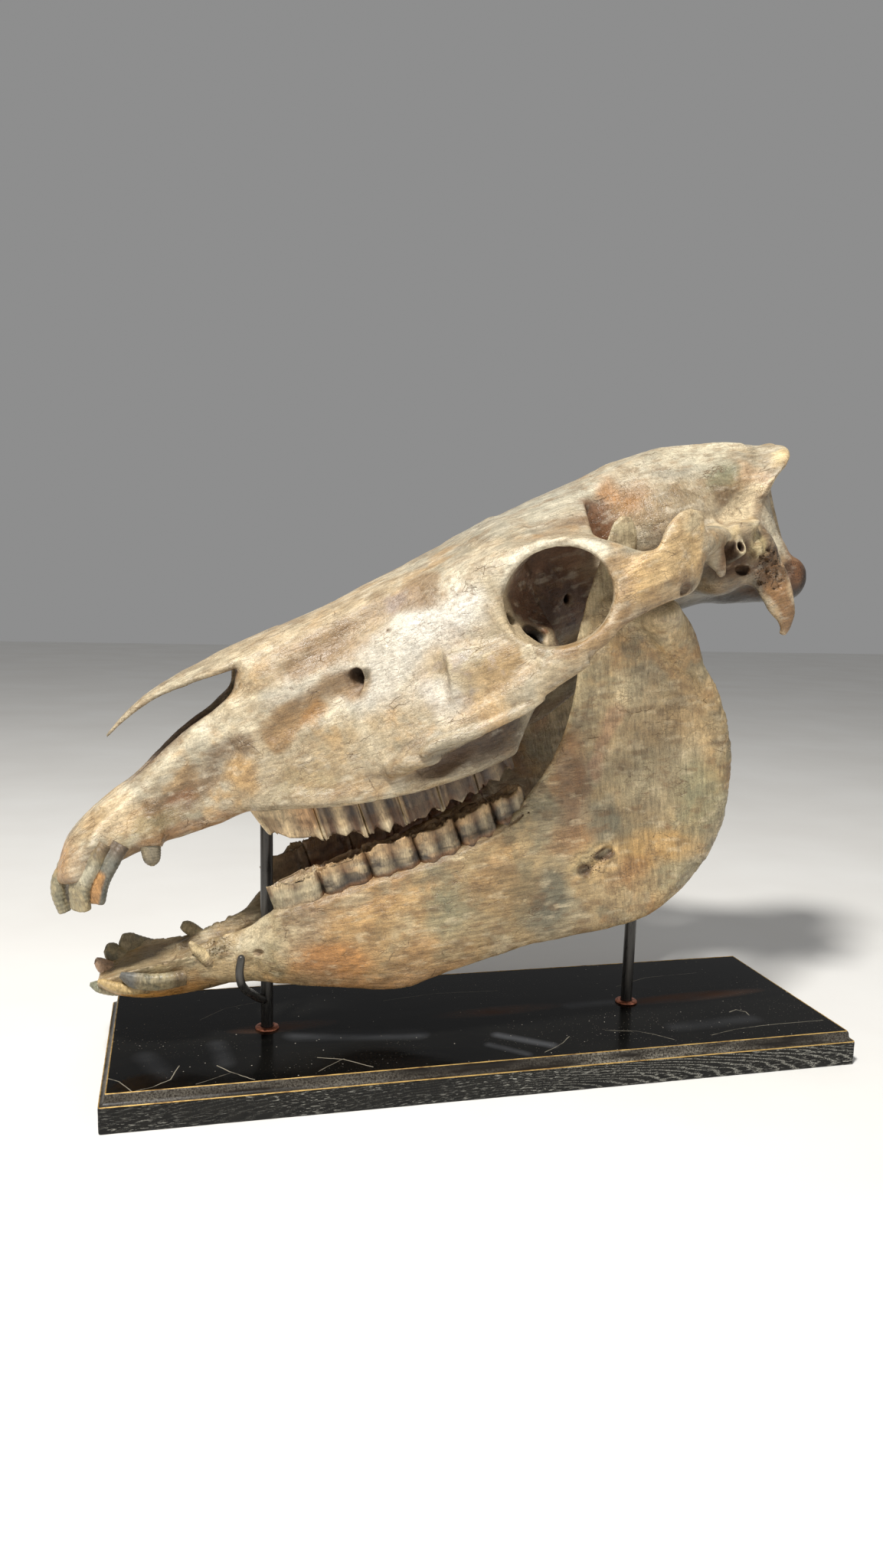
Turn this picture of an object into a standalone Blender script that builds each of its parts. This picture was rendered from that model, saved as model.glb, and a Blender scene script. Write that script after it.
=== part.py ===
"""Life-size horse skull on its display mount: cranium, mandible, two rods with their fittings, and a base.

Each bone is modelled in its own frame, in millimetres: a runs from the front of the jaw to the back of the
head, y to the animal's right, and h up. The bone's object then carries it to its place in the mount and tilts
it nose down about y. The display faces -X, stands on z = 0, and has its origin under the middle of the base.
"""

import math

import bpy
import numpy as np
from mathutils import Euler, Matrix, Vector

MM = 0.001

# ---- driving dimensions, in millimetres and degrees -------------------------------------------------------
BASE_LENGTH, BASE_DEPTH = 500.0, 165.0
SLAB_HEIGHT, BASE_HEIGHT = 16.8, 23.2
STEP_INSET = 4.2
ROD_RADIUS, HOOK_RADIUS = 4.1, 2.7
FRONT_ROD_X, REAR_ROD_X = -146.2, 114.7
FRONT_ROD_TOP, REAR_ROD_TOP = 195.0, 312.0
COLLAR_RADIUS, COLLAR_HEIGHT = 8.0, 1.8
GAP = 0.3

CRANIUM_ORIGIN, CRANIUM_PITCH = (-275.0, 0.0, 150.0), 19.2
MANDIBLE_ORIGIN, MANDIBLE_PITCH = (-262.0, 0.0, 60.0), 8.0

FORM_VOXEL, DETAIL_VOXEL = 2.6, 1.8
CRANIUM_TRIANGLES, MANDIBLE_TRIANGLES = 5000, 3100

# Where each cheek tooth starts and the last one ends, front to back, along its own jaw.
UPPER_TOOTH_STARTS = (118, 156, 182, 206, 231, 256, 284)
LOWER_TOOTH_STARTS = (125, 157, 188, 219, 246, 270, 292)

BONE = ("bone", (0.56, 0.46, 0.33), 0.55, 0.0)
LACQUER = ("black_lacquer", (0.012, 0.012, 0.013), 0.25, 0.0)
STEEL = ("black_steel", (0.03, 0.03, 0.032), 0.4, 0.8)
COPPER = ("copper", (0.62, 0.30, 0.20), 0.35, 1.0)


# ---- modelling kit ----------------------------------------------------------------------------------------
def clear_scene():
    for obj in list(bpy.data.objects):
        bpy.data.objects.remove(obj)


def collection(name):
    made = bpy.data.collections.new(name)
    bpy.context.scene.collection.children.link(made)
    return made


def material(name, colour, roughness, metallic):
    made = bpy.data.materials.get(name) or bpy.data.materials.new(name)
    made.use_nodes = True
    made.diffuse_color = (*colour, 1.0)
    shader = made.node_tree.nodes["Principled BSDF"]
    shader.inputs["Base Color"].default_value = (*colour, 1.0)
    shader.inputs["Roughness"].default_value = roughness
    shader.inputs["Metallic"].default_value = metallic
    return made


def line_through(knots):
    """A smooth line through rows of (parameter, value, ...), with no overshoot between them."""
    knots = np.array(knots, float)
    t, v = knots[:, 0], knots[:, 1:]
    step = np.diff(t)[:, None]
    slope = np.diff(v, axis=0) / step
    tangent = np.zeros_like(v)
    tangent[0], tangent[-1] = slope[0], slope[-1]
    if len(t) > 2:
        w1, w2 = 2 * step[1:] + step[:-1], step[1:] + 2 * step[:-1]
        same = slope[:-1] * slope[1:] > 0
        safe = np.where(same, slope[:-1], 1.0), np.where(same, slope[1:], 1.0)
        tangent[1:-1] = np.where(same, (w1 + w2) / (w1 / safe[0] + w2 / safe[1]), 0.0)

    def at(x):
        x = np.clip(np.atleast_1d(np.asarray(x, float)), t[0], t[-1])
        i = np.clip(np.searchsorted(t, x, side="right") - 1, 0, len(t) - 2)
        u = ((x - t[i]) / (t[i + 1] - t[i]))[:, None]
        h = (t[i + 1] - t[i])[:, None]
        return (
            (1 + 2 * u) * (1 - u) ** 2 * v[i]
            + u * (1 - u) ** 2 * h * tangent[i]
            + u * u * (3 - 2 * u) * v[i + 1]
            + u * u * (u - 1) * h * tangent[i + 1]
        )

    return at


def smooth_path(points, count):
    """`count` rows along a smooth curve through rows of points, evenly spread by chord length."""
    points = np.array(points, float)
    chord = np.r_[0, np.cumsum(np.linalg.norm(np.diff(points[:, :3], axis=0), axis=1))]
    line = line_through(np.c_[chord, points])
    return line(np.linspace(0, chord[-1], count))


def superellipse(count, power=2.0):
    """Points of a unit superellipse, as rows of (across, up)."""
    angle = np.linspace(0, 2 * math.pi, count, endpoint=False)
    c, s = np.cos(angle), np.sin(angle)
    return np.c_[np.sign(c) * np.abs(c) ** (2 / power), np.sign(s) * np.abs(s) ** (2 / power)]


def loft(name, rings):
    """A closed solid through a list of closed rings of equal length, with fanned ends."""
    rings = np.array(rings, float)
    count, around = rings.shape[:2]
    points = rings.reshape(-1, 3)
    middle = [rings[0].mean(0), rings[-1].mean(0)]
    j, k = np.arange(around), (np.arange(around) + 1) % around
    faces = []
    for i in range(count - 1):
        low, high = i * around, (i + 1) * around
        faces += np.c_[low + j, low + k, high + k, high + j].tolist()
    first, last = len(points), len(points) + 1
    faces += np.c_[k, j, np.full(around, first)].tolist()
    top = (count - 1) * around
    faces += np.c_[top + j, top + k, np.full(around, last)].tolist()
    mesh = bpy.data.meshes.new(name)
    mesh.from_pydata((np.vstack([points, middle]) * MM).tolist(), [], faces)
    made = bpy.data.objects.new(name, mesh)
    bpy.context.scene.collection.objects.link(made)
    outward(made)
    return made


def outward(obj):
    """Turns the faces of a closed mesh to point outwards."""
    corners = np.empty(len(obj.data.vertices) * 3)
    obj.data.vertices.foreach_get("co", corners)
    corners = corners.reshape(-1, 3)
    obj.data.calc_loop_triangles()
    tri = np.array([t.vertices[:] for t in obj.data.loop_triangles])
    if np.linalg.det(corners[tri]).sum() < 0:
        obj.data.flip_normals()


def bar(name, stations, power=2.0, steps=40, around=28, up=(0, 0, 1)):
    """A bar swept through stations of (a, y, h, half width, half height); width lies across `up`."""
    rows = smooth_path(stations, steps)
    centre, size = rows[:, :3], rows[:, 3:5]
    along = np.gradient(centre, axis=0)
    along /= np.linalg.norm(along, axis=1)[:, None]
    across = np.cross(np.array(up, float), along)
    across /= np.linalg.norm(across, axis=1)[:, None]
    rise = np.cross(along, across)
    shape = superellipse(around, power)
    rings = [
        c + np.outer(shape[:, 0] * s[0], w) + np.outer(shape[:, 1] * s[1], r)
        for c, s, w, r in zip(centre, size, across, rise)
    ]
    return loft(name, rings)


def hull_of_lines(name, lines, stations, per_span=5):
    """A body drawn like a ship's: half-section lines of (a, y, h) from the top midline to the bottom one."""
    fair = [line_through(line) for line in lines]
    rings = []
    for a in stations:
        half = np.array([f(a)[0] for f in fair])
        whole = np.vstack([half, half[-2:0:-1] * (-1, 1)])
        rings.append(np.c_[np.full(len(whole) * per_span, a), closed_curve(whole, per_span)])
    return loft(name, rings)


def closed_curve(points, per_span):
    """A Catmull-Rom curve through a closed row of points."""
    before, after, beyond = np.roll(points, 1, 0), np.roll(points, -1, 0), np.roll(points, -2, 0)
    spans = []
    for u in np.arange(per_span) / per_span:
        spans.append(
            0.5
            * (
                2 * points
                + (after - before) * u
                + (2 * before - 5 * points + 4 * after - beyond) * u**2
                + (3 * points - before - 3 * after + beyond) * u**3
            )
        )
    return np.stack(spans, 1).reshape(-1, 2)


def ellipsoid(name, centre, radii, tilt=(0, 0, 0)):
    bpy.ops.mesh.primitive_uv_sphere_add(segments=28, ring_count=18, radius=1.0)
    made = bpy.context.object
    made.name = name
    turn = Euler([math.radians(x) for x in tilt]).to_matrix().to_4x4()
    place = Matrix.Translation(Vector(centre) * MM) @ turn @ Matrix.Diagonal((*(Vector(radii) * MM), 1.0))
    made.data.transform(place)
    return made


def mirrored(obj):
    """A copy of a piece on the other side of the midline."""
    other = obj.copy()
    other.data = obj.data.copy()
    bpy.context.scene.collection.objects.link(other)
    other.data.transform(Matrix.Diagonal((1, -1, 1, 1)))
    other.data.flip_normals()
    return other


def both_sides(pieces):
    return pieces + [mirrored(piece) for piece in pieces]


def bake_modifiers(obj):
    graph = bpy.context.evaluated_depsgraph_get()
    mesh = bpy.data.meshes.new_from_object(obj.evaluated_get(graph))
    obj.modifiers.clear()
    obj.data = mesh


def carve(obj, cutters):
    """Cuts each cutter out of a piece."""
    for cutter in cutters:
        cut = obj.modifiers.new("carve", "BOOLEAN")
        cut.operation = "DIFFERENCE"
        cut.object = cutter
    bake_modifiers(obj)


def store(cutters):
    """Keeps used cutters out of the render and marks them as wires."""
    for cutter in cutters:
        cutter.hide_render = True
        cutter.display_type = "WIRE"


def join(name, pieces):
    with bpy.context.temp_override(active_object=pieces[0], selected_editable_objects=pieces):
        bpy.ops.object.join()
    pieces[0].name = name
    return pieces[0]


def fuse(name, pieces, voxel, rounds):
    """Melts overlapping pieces into one skin and softens where they meet."""
    made = join(name, pieces)
    remesh = made.modifiers.new("fuse", "REMESH")
    remesh.mode = "VOXEL"
    remesh.voxel_size = voxel * MM
    soften = made.modifiers.new("soften", "SMOOTH")
    soften.factor = 0.5
    soften.iterations = rounds
    bake_modifiers(made)
    return made


def thin_out(obj, triangles):
    """Reduces a fused skin to a number of triangles."""
    obj.data.calc_loop_triangles()
    reduce = obj.modifiers.new("thin out", "DECIMATE")
    reduce.ratio = triangles / len(obj.data.loop_triangles)
    reduce.use_collapse_triangulate = True
    bake_modifiers(obj)


# ---- cranium ----------------------------------------------------------------------------------------------
# Half-section lines of (a, y, h), each from front to back, in order from the top midline to the bottom one.
SNOUT = [
    [(-3, 0, -8), (3, 0, 0), (9, 0, 7), (20, 0, 13.5), (36, 0, 20.5), (59, 0, 27), (98, 0, 38), (150, 0, 46)],
    [(-3, 12, -9), (3, 14, -1), (9, 15, 5.5), (20, 14, 12.5), (36, 12, 20), (59, 13, 28), (80, 15, 38),
     (98, 18, 46), (118, 22, 53), (135, 29, 59), (150, 34, 60)],
    [(-3, 21, -12), (3, 28, -8), (9, 31, -5), (20, 31, -1), (36, 28, 3), (59, 23.5, 6), (80, 22.5, 10),
     (98, 24.5, 13), (118, 31, 16), (135, 34, 18), (150, 37, 20)],
    [(-3, 18, -16), (4, 26, -17), (10, 29, -17), (20, 28, -17), (36, 24, -14.5), (59, 20, -13),
     (80, 19, -14), (98, 22, -13.5), (118, 29, -12), (135, 34, -11), (150, 40, -10)],
    [(-3, 0, -15), (10, 0, -14), (36, 0, -10), (59, 0, -9), (98, 0, -9), (150, 0, -6)],
]  # fmt: skip
FACE = [
    [(128, 0, 56), (136, 0, 68), (146, 0, 82), (164, 0, 87), (206, 0, 91.5), (249, 0, 98), (283, 0, 102.5),
     (305, 0, 106.5), (330, 0, 111)],
    [(128, 14, 56), (136, 20, 66), (146, 22, 79), (200, 30, 85), (250, 42, 90), (290, 56, 95), (330, 62, 97)],
    [(128, 27, 50), (146, 33, 66), (200, 46, 66), (250, 62, 70), (290, 78, 76), (330, 66, 72)],
    [(128, 32, 34), (150, 38, 38), (200, 54, 37), (250, 71, 38), (290, 84, 42), (330, 66, 45)],
    [(128, 34, 10), (150, 44, 8), (190, 58, 0), (212, 72, -6), (232, 78, -3), (250, 81, 1), (290, 88, 12),
     (330, 66, 20)],
    [(128, 34, -2), (150, 48, -7), (190, 58, -13), (215, 62, -14), (250, 62, -12), (290, 58, -3),
     (330, 44, 10)],
    [(128, 36, -10), (150, 49, -15), (190, 57, -23), (225, 60, -28), (250, 60, -29), (283, 57, -27),
     (300, 47, -16), (330, 34, 6)],
    [(128, 20, -10), (150, 27, -14), (190, 33, -21), (225, 35, -25), (283, 33, -25), (300, 30, -17),
     (330, 24, 2)],
    [(128, 0, -6), (150, 0, -8), (200, 0, -13), (250, 0, -14), (300, 0, -6), (330, 0, 4)],
]  # fmt: skip
BRAINCASE = [
    [(270, 0, 98), (320, 0, 109), (363, 0, 115.5), (397, 0, 118.5), (421, 0, 122), (443, 0, 122),
     (466, 0, 118.5), (487, 0, 114), (505, 0, 110), (520, 0, 104)],
    [(270, 34, 91), (320, 40, 101), (363, 38, 105), (400, 28, 110), (440, 26, 110), (470, 26, 104),
     (495, 29, 98), (508, 25, 91), (520, 16, 84)],
    [(270, 44, 60), (320, 45, 64), (363, 40, 70), (400, 47, 73), (435, 53, 70), (465, 51, 66),
     (485, 45, 62), (502, 39, 58), (513, 31, 54), (520, 18, 52)],
    [(270, 30, 12), (320, 32, 16), (363, 26, 30), (400, 31, 36), (435, 38, 33), (465, 38, 28),
     (485, 33, 26), (502, 28, 24), (513, 24, 26), (520, 15, 30)],
    [(270, 0, 2), (320, 0, 8), (363, 0, 15), (400, 0, 18), (435, 0, 18), (470, 0, 13), (500, 0, 8),
     (520, 0, 18)],
]  # fmt: skip


def nasal_roof():
    """The two nasal bones: a thin arched roof that runs out to a free spine over the nose."""
    stations = line_through([
        # a, half width, top, droop of the edge, thickness
        (53, 2.2, 59.5, 0.3, 3.4), (65, 5.0, 66.5, 1.2, 4.0), (87, 10.0, 75.6, 3.0, 4.2),
        (108, 16.0, 80.8, 5.5, 4.4), (123, 21.0, 83.6, 7.5, 5.0), (137, 25.0, 86.2, 9.0, 6.0),
        (175, 29.0, 88.5, 8.0, 8.0),
    ])  # fmt: skip
    rings = []
    for a in np.linspace(53, 175, 44):
        half, top, droop, thick = stations(a)[0]
        y = np.linspace(-1, 1, 13)
        upper = top - droop * y**2
        ring = np.r_[np.c_[y * half, upper], np.c_[y * half * 0.92, upper - thick][::-1]]
        rings.append(np.c_[np.full(len(ring), a), ring])
    return loft("nasal_roof", rings)


def nasal_cavity():
    return bar("nasal_cavity", [
        (40, 0, 27, 1.5, 4), (59, 0, 31, 6.5, 12), (80, 0, 40, 10.5, 24), (98, 0, 45, 13.5, 32),
        (118, 0, 45, 17.5, 33), (136, 0, 43, 22.5, 33.5), (165, 0, 43, 25, 34), (205, 0, 41, 21, 28),
        (240, 0, 38, 6, 8),
    ], power=2.6)  # fmt: skip


def plate(name, stations, steps=36, around=26):
    """A rounded plate through stations of one edge (a, y, h), the other edge (a, y, h), and thickness."""
    rows = smooth_path(np.array([(*s[0], *s[1], s[2]) for s in stations], float), steps)
    near, far, thick = rows[:, :3], rows[:, 3:6], rows[:, 6]
    along = np.gradient((near + far) / 2, axis=0)
    normal = np.cross(along, far - near)
    normal /= np.linalg.norm(normal, axis=1)[:, None]
    shape = superellipse(around, 3.0)
    rings = [
        (n + f) / 2 + np.outer(shape[:, 0], (f - n) / 2) + np.outer(shape[:, 1], m * t / 2)
        for n, f, m, t in zip(near, far, normal, thick)
    ]
    return loft(name, rings)


def orbit_rim():
    """The raised ring round the eye socket, most lateral behind and below."""
    angle = np.linspace(0, 2 * math.pi, 9)
    knots = np.c_[
        326 + 36 * np.cos(angle), -93.5 - 9 * np.cos(angle) + 8 * np.sin(angle), 59.5 + 32.5 * np.sin(angle)
    ]
    size = np.c_[np.full(9, 5.0), 4.2 + 0.8 * np.cos(angle)]
    return bar("orbit_rim", np.c_[knots, size], steps=56, around=16, up=(0, 1, 0))


def frontal_wing():
    """The frontal bone's process over the eye, from the forehead out, back and down to the arch."""
    return plate("frontal_wing", [
        ((300, -24, 99), (390, -26, 106), 12), ((300, -45, 95), (376, -44, 103), 10),
        ((302, -62, 91), (369, -60, 94), 9), ((312, -78, 90), (364, -75, 85), 8),
        ((331, -91, 90), (368, -90, 78), 7.5), ((350, -97, 78), (379, -99, 70), 8),
        ((359, -100, 62), (391, -104, 60), 9), ((359, -101, 50), (392, -105, 50), 9),
    ])  # fmt: skip


def zygomatic_arch():
    front = bar("cheek_bar", [
        (206, -62, -8, 6, 5), (226, -71, -5, 8, 6), (250, -76, 1, 9, 8), (285, -86, 11, 9, 10),
        (310, -94, 20, 8, 9), (330, -99, 25, 7, 8),
    ], power=2.4)  # fmt: skip
    rear = plate("arch_plate", [
        ((306, -93, 12), (306, -92, 30), 12), ((320, -97, 17), (320, -95, 33), 11),
        ((341, -102, 25), (341, -100, 37), 10), ((360, -105, 34.5), (357, -102, 50), 10),
        ((377, -105, 37), (374, -104, 66), 9), ((392, -103, 38), (389, -104, 70), 9),
        ((403, -99, 38), (399, -103, 80), 9), ((411, -95, 40), (412, -100, 84), 9),
        ((415, -91, 47), (424, -94, 81), 9),
    ])  # fmt: skip
    root = bar("arch_root", [
        (414, -94, 66, 11, 12), (424, -86, 64, 12, 11), (434, -72, 60, 14, 10), (446, -48, 58, 16, 10),
    ], power=2.4, up=(0, 0, 1))  # fmt: skip
    return [front, rear, root]


def occipital_pieces():
    crest = bar("nuchal_crest", [
        (533, 0, 97, 6, 5), (532, -12, 96, 6, 5), (522, -26, 91, 7, 4.5), (508, -36, 83, 8, 4),
        (498, -42, 74, 7, 4), (491, -46, 65, 6, 4), (480, -49, 57, 6, 4), (462, -53, 56, 6, 4),
        (445, -56, 59, 6, 4),
    ])  # fmt: skip
    web = plate("crest_web", [
        ((478, -40, 76), (503, -40, 75), 9), ((486, -33, 88), (516, -33, 84), 10),
        ((494, -20, 97), (530, -20, 92), 11), ((500, 0, 101), (534, 0, 97), 12),
        ((494, 20, 97), (530, 20, 92), 11), ((486, 33, 88), (516, 33, 84), 10),
        ((478, 40, 76), (503, 40, 75), 9),
    ])  # fmt: skip
    condyle = ellipsoid("occipital_condyle", (508, -26, 15), (17, 14, 16), (0, 18, 0))
    neck = ellipsoid("condyle_neck", (504, -24, 34), (17, 13, 16), (0, -24, 0))
    process = bar("paracondylar_process", [
        (484, -42, 34, 6, 14), (487, -46, 20, 5, 13), (490, -47, 5, 4.4, 10.5), (491, -46, -6, 3.6, 7.5),
        (491, -45, -13, 3.2, 4.2), (490, -44, -18, 3, 3),
    ], up=(1, 0, 0.2))  # fmt: skip
    broken_short = bar("broken_process", [(484, 42, 34, 6, 14), (487, 46, 20, 5, 12), (488, 46, 12, 3.5, 8)],
                       up=(1, 0, 0.2), steps=16)
    return [crest, condyle, neck], [web, process, broken_short]


def temporal_pieces():
    mastoid = ellipsoid("mastoid", (478, -45, 38), (15, 12, 15))
    bulla = ellipsoid("bulla", (456, -38, 31), (15, 14, 12))
    meatus = bar("ear_canal", [(456, -44, 42, 6.5, 6.5), (461, -64, 49, 6, 6)], steps=6)
    tubercle = ellipsoid("articular_tubercle", (405, -82, 49), (10, 17, 7), (0, 0, -8))
    postglenoid = bar("postglenoid", [(436, -74, 58, 6, 9), (440, -72, 47, 4.5, 6.5), (441, -71, 40, 3.4, 4)],
                      up=(1, 0, 0))
    return [mastoid, bulla, meatus, tubercle, postglenoid]


def base_pieces():
    """The bones of the skull's underside, along the midline and beside the throat."""
    spine = bar("basioccipital", [(340, 0, 14, 12, 8), (400, 0, 20, 13, 8), (450, 0, 22, 15, 8),
                                  (480, 0, 14, 18, 8), (505, 0, 8, 20, 9)])
    pterygoid = bar("pterygoid_plate", [(286, -21, -12, 4, 14), (318, -20, -4, 3, 17), (350, -18, 4, 3, 15),
                                        (378, -16, 12, 3, 9)])
    return [spine, pterygoid, mirrored(pterygoid)]


def cheek_teeth(name, starts, gum, bite, row, half_width, root):
    """One side's row of cheek teeth. gum and bite give the height, row the distance from the midline."""
    teeth = []
    for number, (start, end) in enumerate(zip(starts, starts[1:])):
        middle, half = (start + end) / 2, (end - start) / 2 - 0.5
        low, high = sorted((bite(middle)[0, 0], gum(middle)[0, 0] + root))
        slope = (bite(end)[0, 0] - bite(start)[0, 0]) / (end - start)
        shape = superellipse(20, 4.5) * (half, half_width)
        if number == 0:
            shape[:, 1] *= np.interp(shape[:, 0], (-half, 0), (0.45, 1.0))
        a = middle + shape[:, 0]
        splay = (row(end)[0, 0] - row(start)[0, 0]) / (end - start)
        y = -row(middle)[0, 0] + shape[:, 1] - (a - middle) * splay
        rings = [np.c_[a, y, h + (a - middle) * slope] for h in (low, high)]
        teeth.append(loft(f"{name}_{number + 1}", rings))
    return teeth


def upper_cheek_teeth():
    return cheek_teeth(
        "upper_tooth", UPPER_TOOTH_STARTS,
        gum=line_through([(118, -8), (151, -15), (182, -22), (225, -28), (283, -27)]),
        bite=line_through([(118, -24), (142, -34), (162, -38), (178, -45), (199, -46), (246, -43),
                           (284, -35)]),
        row=line_through([(118, 26), (150, 37), (182, 44), (225, 47), (284, 44)]),
        half_width=12.0, root=12.0,
    )  # fmt: skip


def incisors(name, front, half_arc, depth, stations, radii, rise=0.0):
    """Three incisors round one side of an arc; stations are (outward lean, height, size) from root to tip.

    Each tooth stands higher than the one in front of it by `rise`.
    """
    teeth = []
    for i in range(3):
        angle = math.radians(10 + 20 * i)
        y = -half_arc * math.sin(angle) / math.sin(math.radians(60))
        a = front + depth * (1 - math.cos(angle)) * 2
        out = (-math.cos(angle), -math.sin(angle))
        rows = [(a + out[0] * lean, y + out[1] * lean, h + i * rise, radii[0] * size, radii[1] * size)
                for lean, h, size in stations]
        teeth.append(bar(f"{name}_{i + 1}", rows, power=2.6, steps=10, around=16, up=(out[0], out[1], 0.0)))
    return teeth


def upper_front_teeth():
    front = incisors("upper_incisor", 4, 27, 22,
                     [(-6, -4, 1.0), (5, -13, 1.05), (10, -24, 0.95), (11, -34, 0.85)], (7.6, 5.0))
    canine = bar("upper_canine", [(57, -21, -6, 5.5, 6), (55, -24, -15, 5, 6), (54, -25, -24, 4, 4.4)],
                 steps=10, around=14, up=(1, 0, 0))
    return front + [canine]


def cranium_cutters():
    """What is cut away: nose, throat and spinal openings on the midline, and the eye sockets."""
    middle = [
        nasal_cavity(),
        ellipsoid("choana", (318, 0, -4), (36, 16, 19), (0, -12, 0)),
        ellipsoid("foramen_magnum", (522, 0, 25), (38, 15, 14)),
    ]
    orbit = bar("orbit_cavity", [(320, -114, 60, 33, 28), (327, -92, 60, 32, 28), (335, -70, 60, 30, 26),
                                 (348, -52, 60, 20, 18)])
    return middle, both_sides([orbit])


def build_cranium():
    middle, orbits = cranium_cutters()
    cavity, choana, foramen = middle
    face = hull_of_lines("face", FACE, np.linspace(128, 330, 52))
    case = hull_of_lines("case", BRAINCASE, np.linspace(270, 518, 54))
    nose = hull_of_lines("nose", SNOUT, np.linspace(-3, 150, 50))
    wing, arch = frontal_wing(), zygomatic_arch()
    crest, middle_crest = occipital_pieces()
    carve(face, [cavity, choana, *orbits])
    carve(nose, [cavity])
    carve(case, [choana])
    carve(wing, [orbits[0]])
    form = [face, case, nose, *middle_crest, *both_sides([wing, *arch, orbit_rim()]), *base_pieces()]
    cranium = fuse("cranium", form, FORM_VOXEL, 4)
    detail = both_sides(crest + temporal_pieces() + upper_cheek_teeth() + upper_front_teeth())
    cranium = fuse("cranium", [cranium, nasal_roof(), *detail], DETAIL_VOXEL, 2)
    carve(cranium, [foramen])
    store(middle + orbits)
    thin_out(cranium, CRANIUM_TRIANGLES)
    return cranium


# ---- mandible ---------------------------------------------------------------------------------------------
HALF_JAW = [
    # station, lower edge (a, y, h), upper edge (a, y, h), thickness of the lower edge, middle, upper edge
    (0, 58, 10, -8, 60, 10, 14, 14, 16, 12),
    (1, 84, 15, -9, 84, 14, 21, 16, 16, 10),
    (2, 104, 22, -9, 106, 19, 26, 17, 17, 10),
    (3, 126, 31, -12, 122, 28, 36, 18, 21, 17),
    (4, 157, 38, -18, 155, 36, 44, 19, 24, 22),
    (5, 196, 43, -25, 190, 41, 51, 18, 25, 22),
    (6, 225, 45, -20, 221, 44, 56, 17, 25, 22),
    (7, 258, 46, -15, 250, 47, 65, 16, 23, 21),
    (8, 290, 47, -11, 275, 50, 75, 15, 19, 19),
    (9, 325, 48, -11, 292, 55, 92, 14, 13, 13),
    (10, 360, 50, -8, 308, 59, 113, 14, 9, 9),
    (11, 391, 52, 8, 318, 62, 132, 14, 7.5, 8),
    (12, 411, 55, 30, 323, 65, 149, 14, 7, 7.5),
    (13, 424, 59, 60, 327, 68, 170, 13, 6.5, 7),
    (14, 427, 64, 95, 333, 70, 190, 12, 6.5, 7),
    (15, 419, 70, 132, 341, 73, 203, 12, 7, 7),
    (16, 404, 76, 160, 351, 76, 206, 12, 7, 8),
    (17, 390, 80, 182, 364, 80, 198, 12, 9, 9),
]  # fmt: skip


def half_jaw():
    """The left half of the mandible, from the chin along the body and round the angle to the neck."""
    line = line_through(HALF_JAW)
    angle = np.linspace(0, 2 * math.pi, 40, endpoint=False)
    rings = []
    for station in np.linspace(0, 17, 70):
        row = line(station)[0]
        lower, upper, thick = row[:3] * (1, -1, 1), row[3:6] * (1, -1, 1), row[6:]
        square = np.interp(station, (3, 9, 11), (2.4, 3.6, 5.0))
        c, s = np.cos(angle), np.sin(angle)
        u = 0.5 - 0.5 * np.sign(c) * np.abs(c) ** (2 / square)
        width = np.interp(u, (0.0, 0.10, 0.35, 0.75, 0.92, 1.0),
                          (thick[0], thick[0], thick[1], thick[1], thick[2], thick[2]))
        off = 0.5 * width * np.sign(s) * np.abs(s) ** (2 / 2.4)
        ring = lower + np.outer(u, upper - lower)
        ring[:, 1] += off
        rings.append(ring)
    return loft("half_jaw", rings)


def symphysis():
    """The chin: the fused front of the jaw, hollowed on top like a spoon behind the incisors."""
    stations = line_through([
        # a, half width, edge height, floor of the hollow, underside
        (8, 18, 7.5, 7, 3), (14, 25, 12, 9, -1), (24, 29, 15.5, 10, -6), (38, 29, 16.5, 10, -11),
        (56, 25, 15.5, 9.5, -13.5), (72, 22, 15.5, 8.5, -14), (88, 20, 18, 8, -13.5), (98, 17, 17, 6, -8),
    ])  # fmt: skip
    rings = []
    for a in np.linspace(8, 98, 36):
        half, edge, floor, under = stations(a)[0]
        y = np.linspace(-1, 1, 15)
        upper = floor + (edge - floor) * np.abs(y) ** 3
        lower = under + (edge - under) * np.abs(y) ** 4
        ring = np.r_[np.c_[y * half, upper + 0.5], np.c_[y * half * 0.97, lower - 0.5][::-1]]
        rings.append(np.c_[np.full(len(ring), a), ring])
    return loft("symphysis", rings)


def jaw_joint():
    coronoid = bar("coronoid", [(345, -69, 178, 3.4, 20), (350, -71, 205, 3.2, 16), (357, -73, 232, 3, 11),
                                (361, -74, 246, 2.8, 7), (363, -74, 253, 2.4, 4)], up=(1, 0, -0.3))
    neck = bar("condyle_neck", [(400, -71, 128, 2, 8), (393, -75, 148, 3.4, 11), (386, -79, 166, 6, 12.5),
                                (379, -82, 180, 10, 13), (373, -86, 192, 16, 11.5)], up=(1, 0, 0.3), steps=30)
    condyle = ellipsoid("mandibular_condyle", (371, -86, 193), (12, 21, 9), (6, -12, 10))
    return [coronoid, neck, condyle]


def lower_cheek_teeth():
    return cheek_teeth(
        "lower_tooth", LOWER_TOOTH_STARTS,
        gum=line_through([(124, 37), (158, 44), (188, 51), (221, 56), (244, 62), (292, 80)]),
        bite=line_through([(124, 53), (156, 61.5), (186, 70), (215, 74), (257, 85), (292, 93)]),
        row=line_through([(124, 29), (157, 37), (221, 44), (292, 49)]),
        half_width=8.0, root=-12.0,
    )  # fmt: skip


def lower_front_teeth():
    front = incisors("lower_incisor", 20, 25, 16,
                     [(-16, 2, 1.0), (-3, 5, 1.05), (7, 7, 0.95), (15, 8.5, 0.8)], (7.4, 4.4), rise=1.5)
    canine = bar("lower_canine", [(76, -19, 10, 4.5, 4.5), (72, -20, 17, 3.8, 3.8), (67, -20, 22, 2.8, 2.8)],
                 steps=10, around=14, up=(1, 0, 0))
    return front + [canine]


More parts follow.
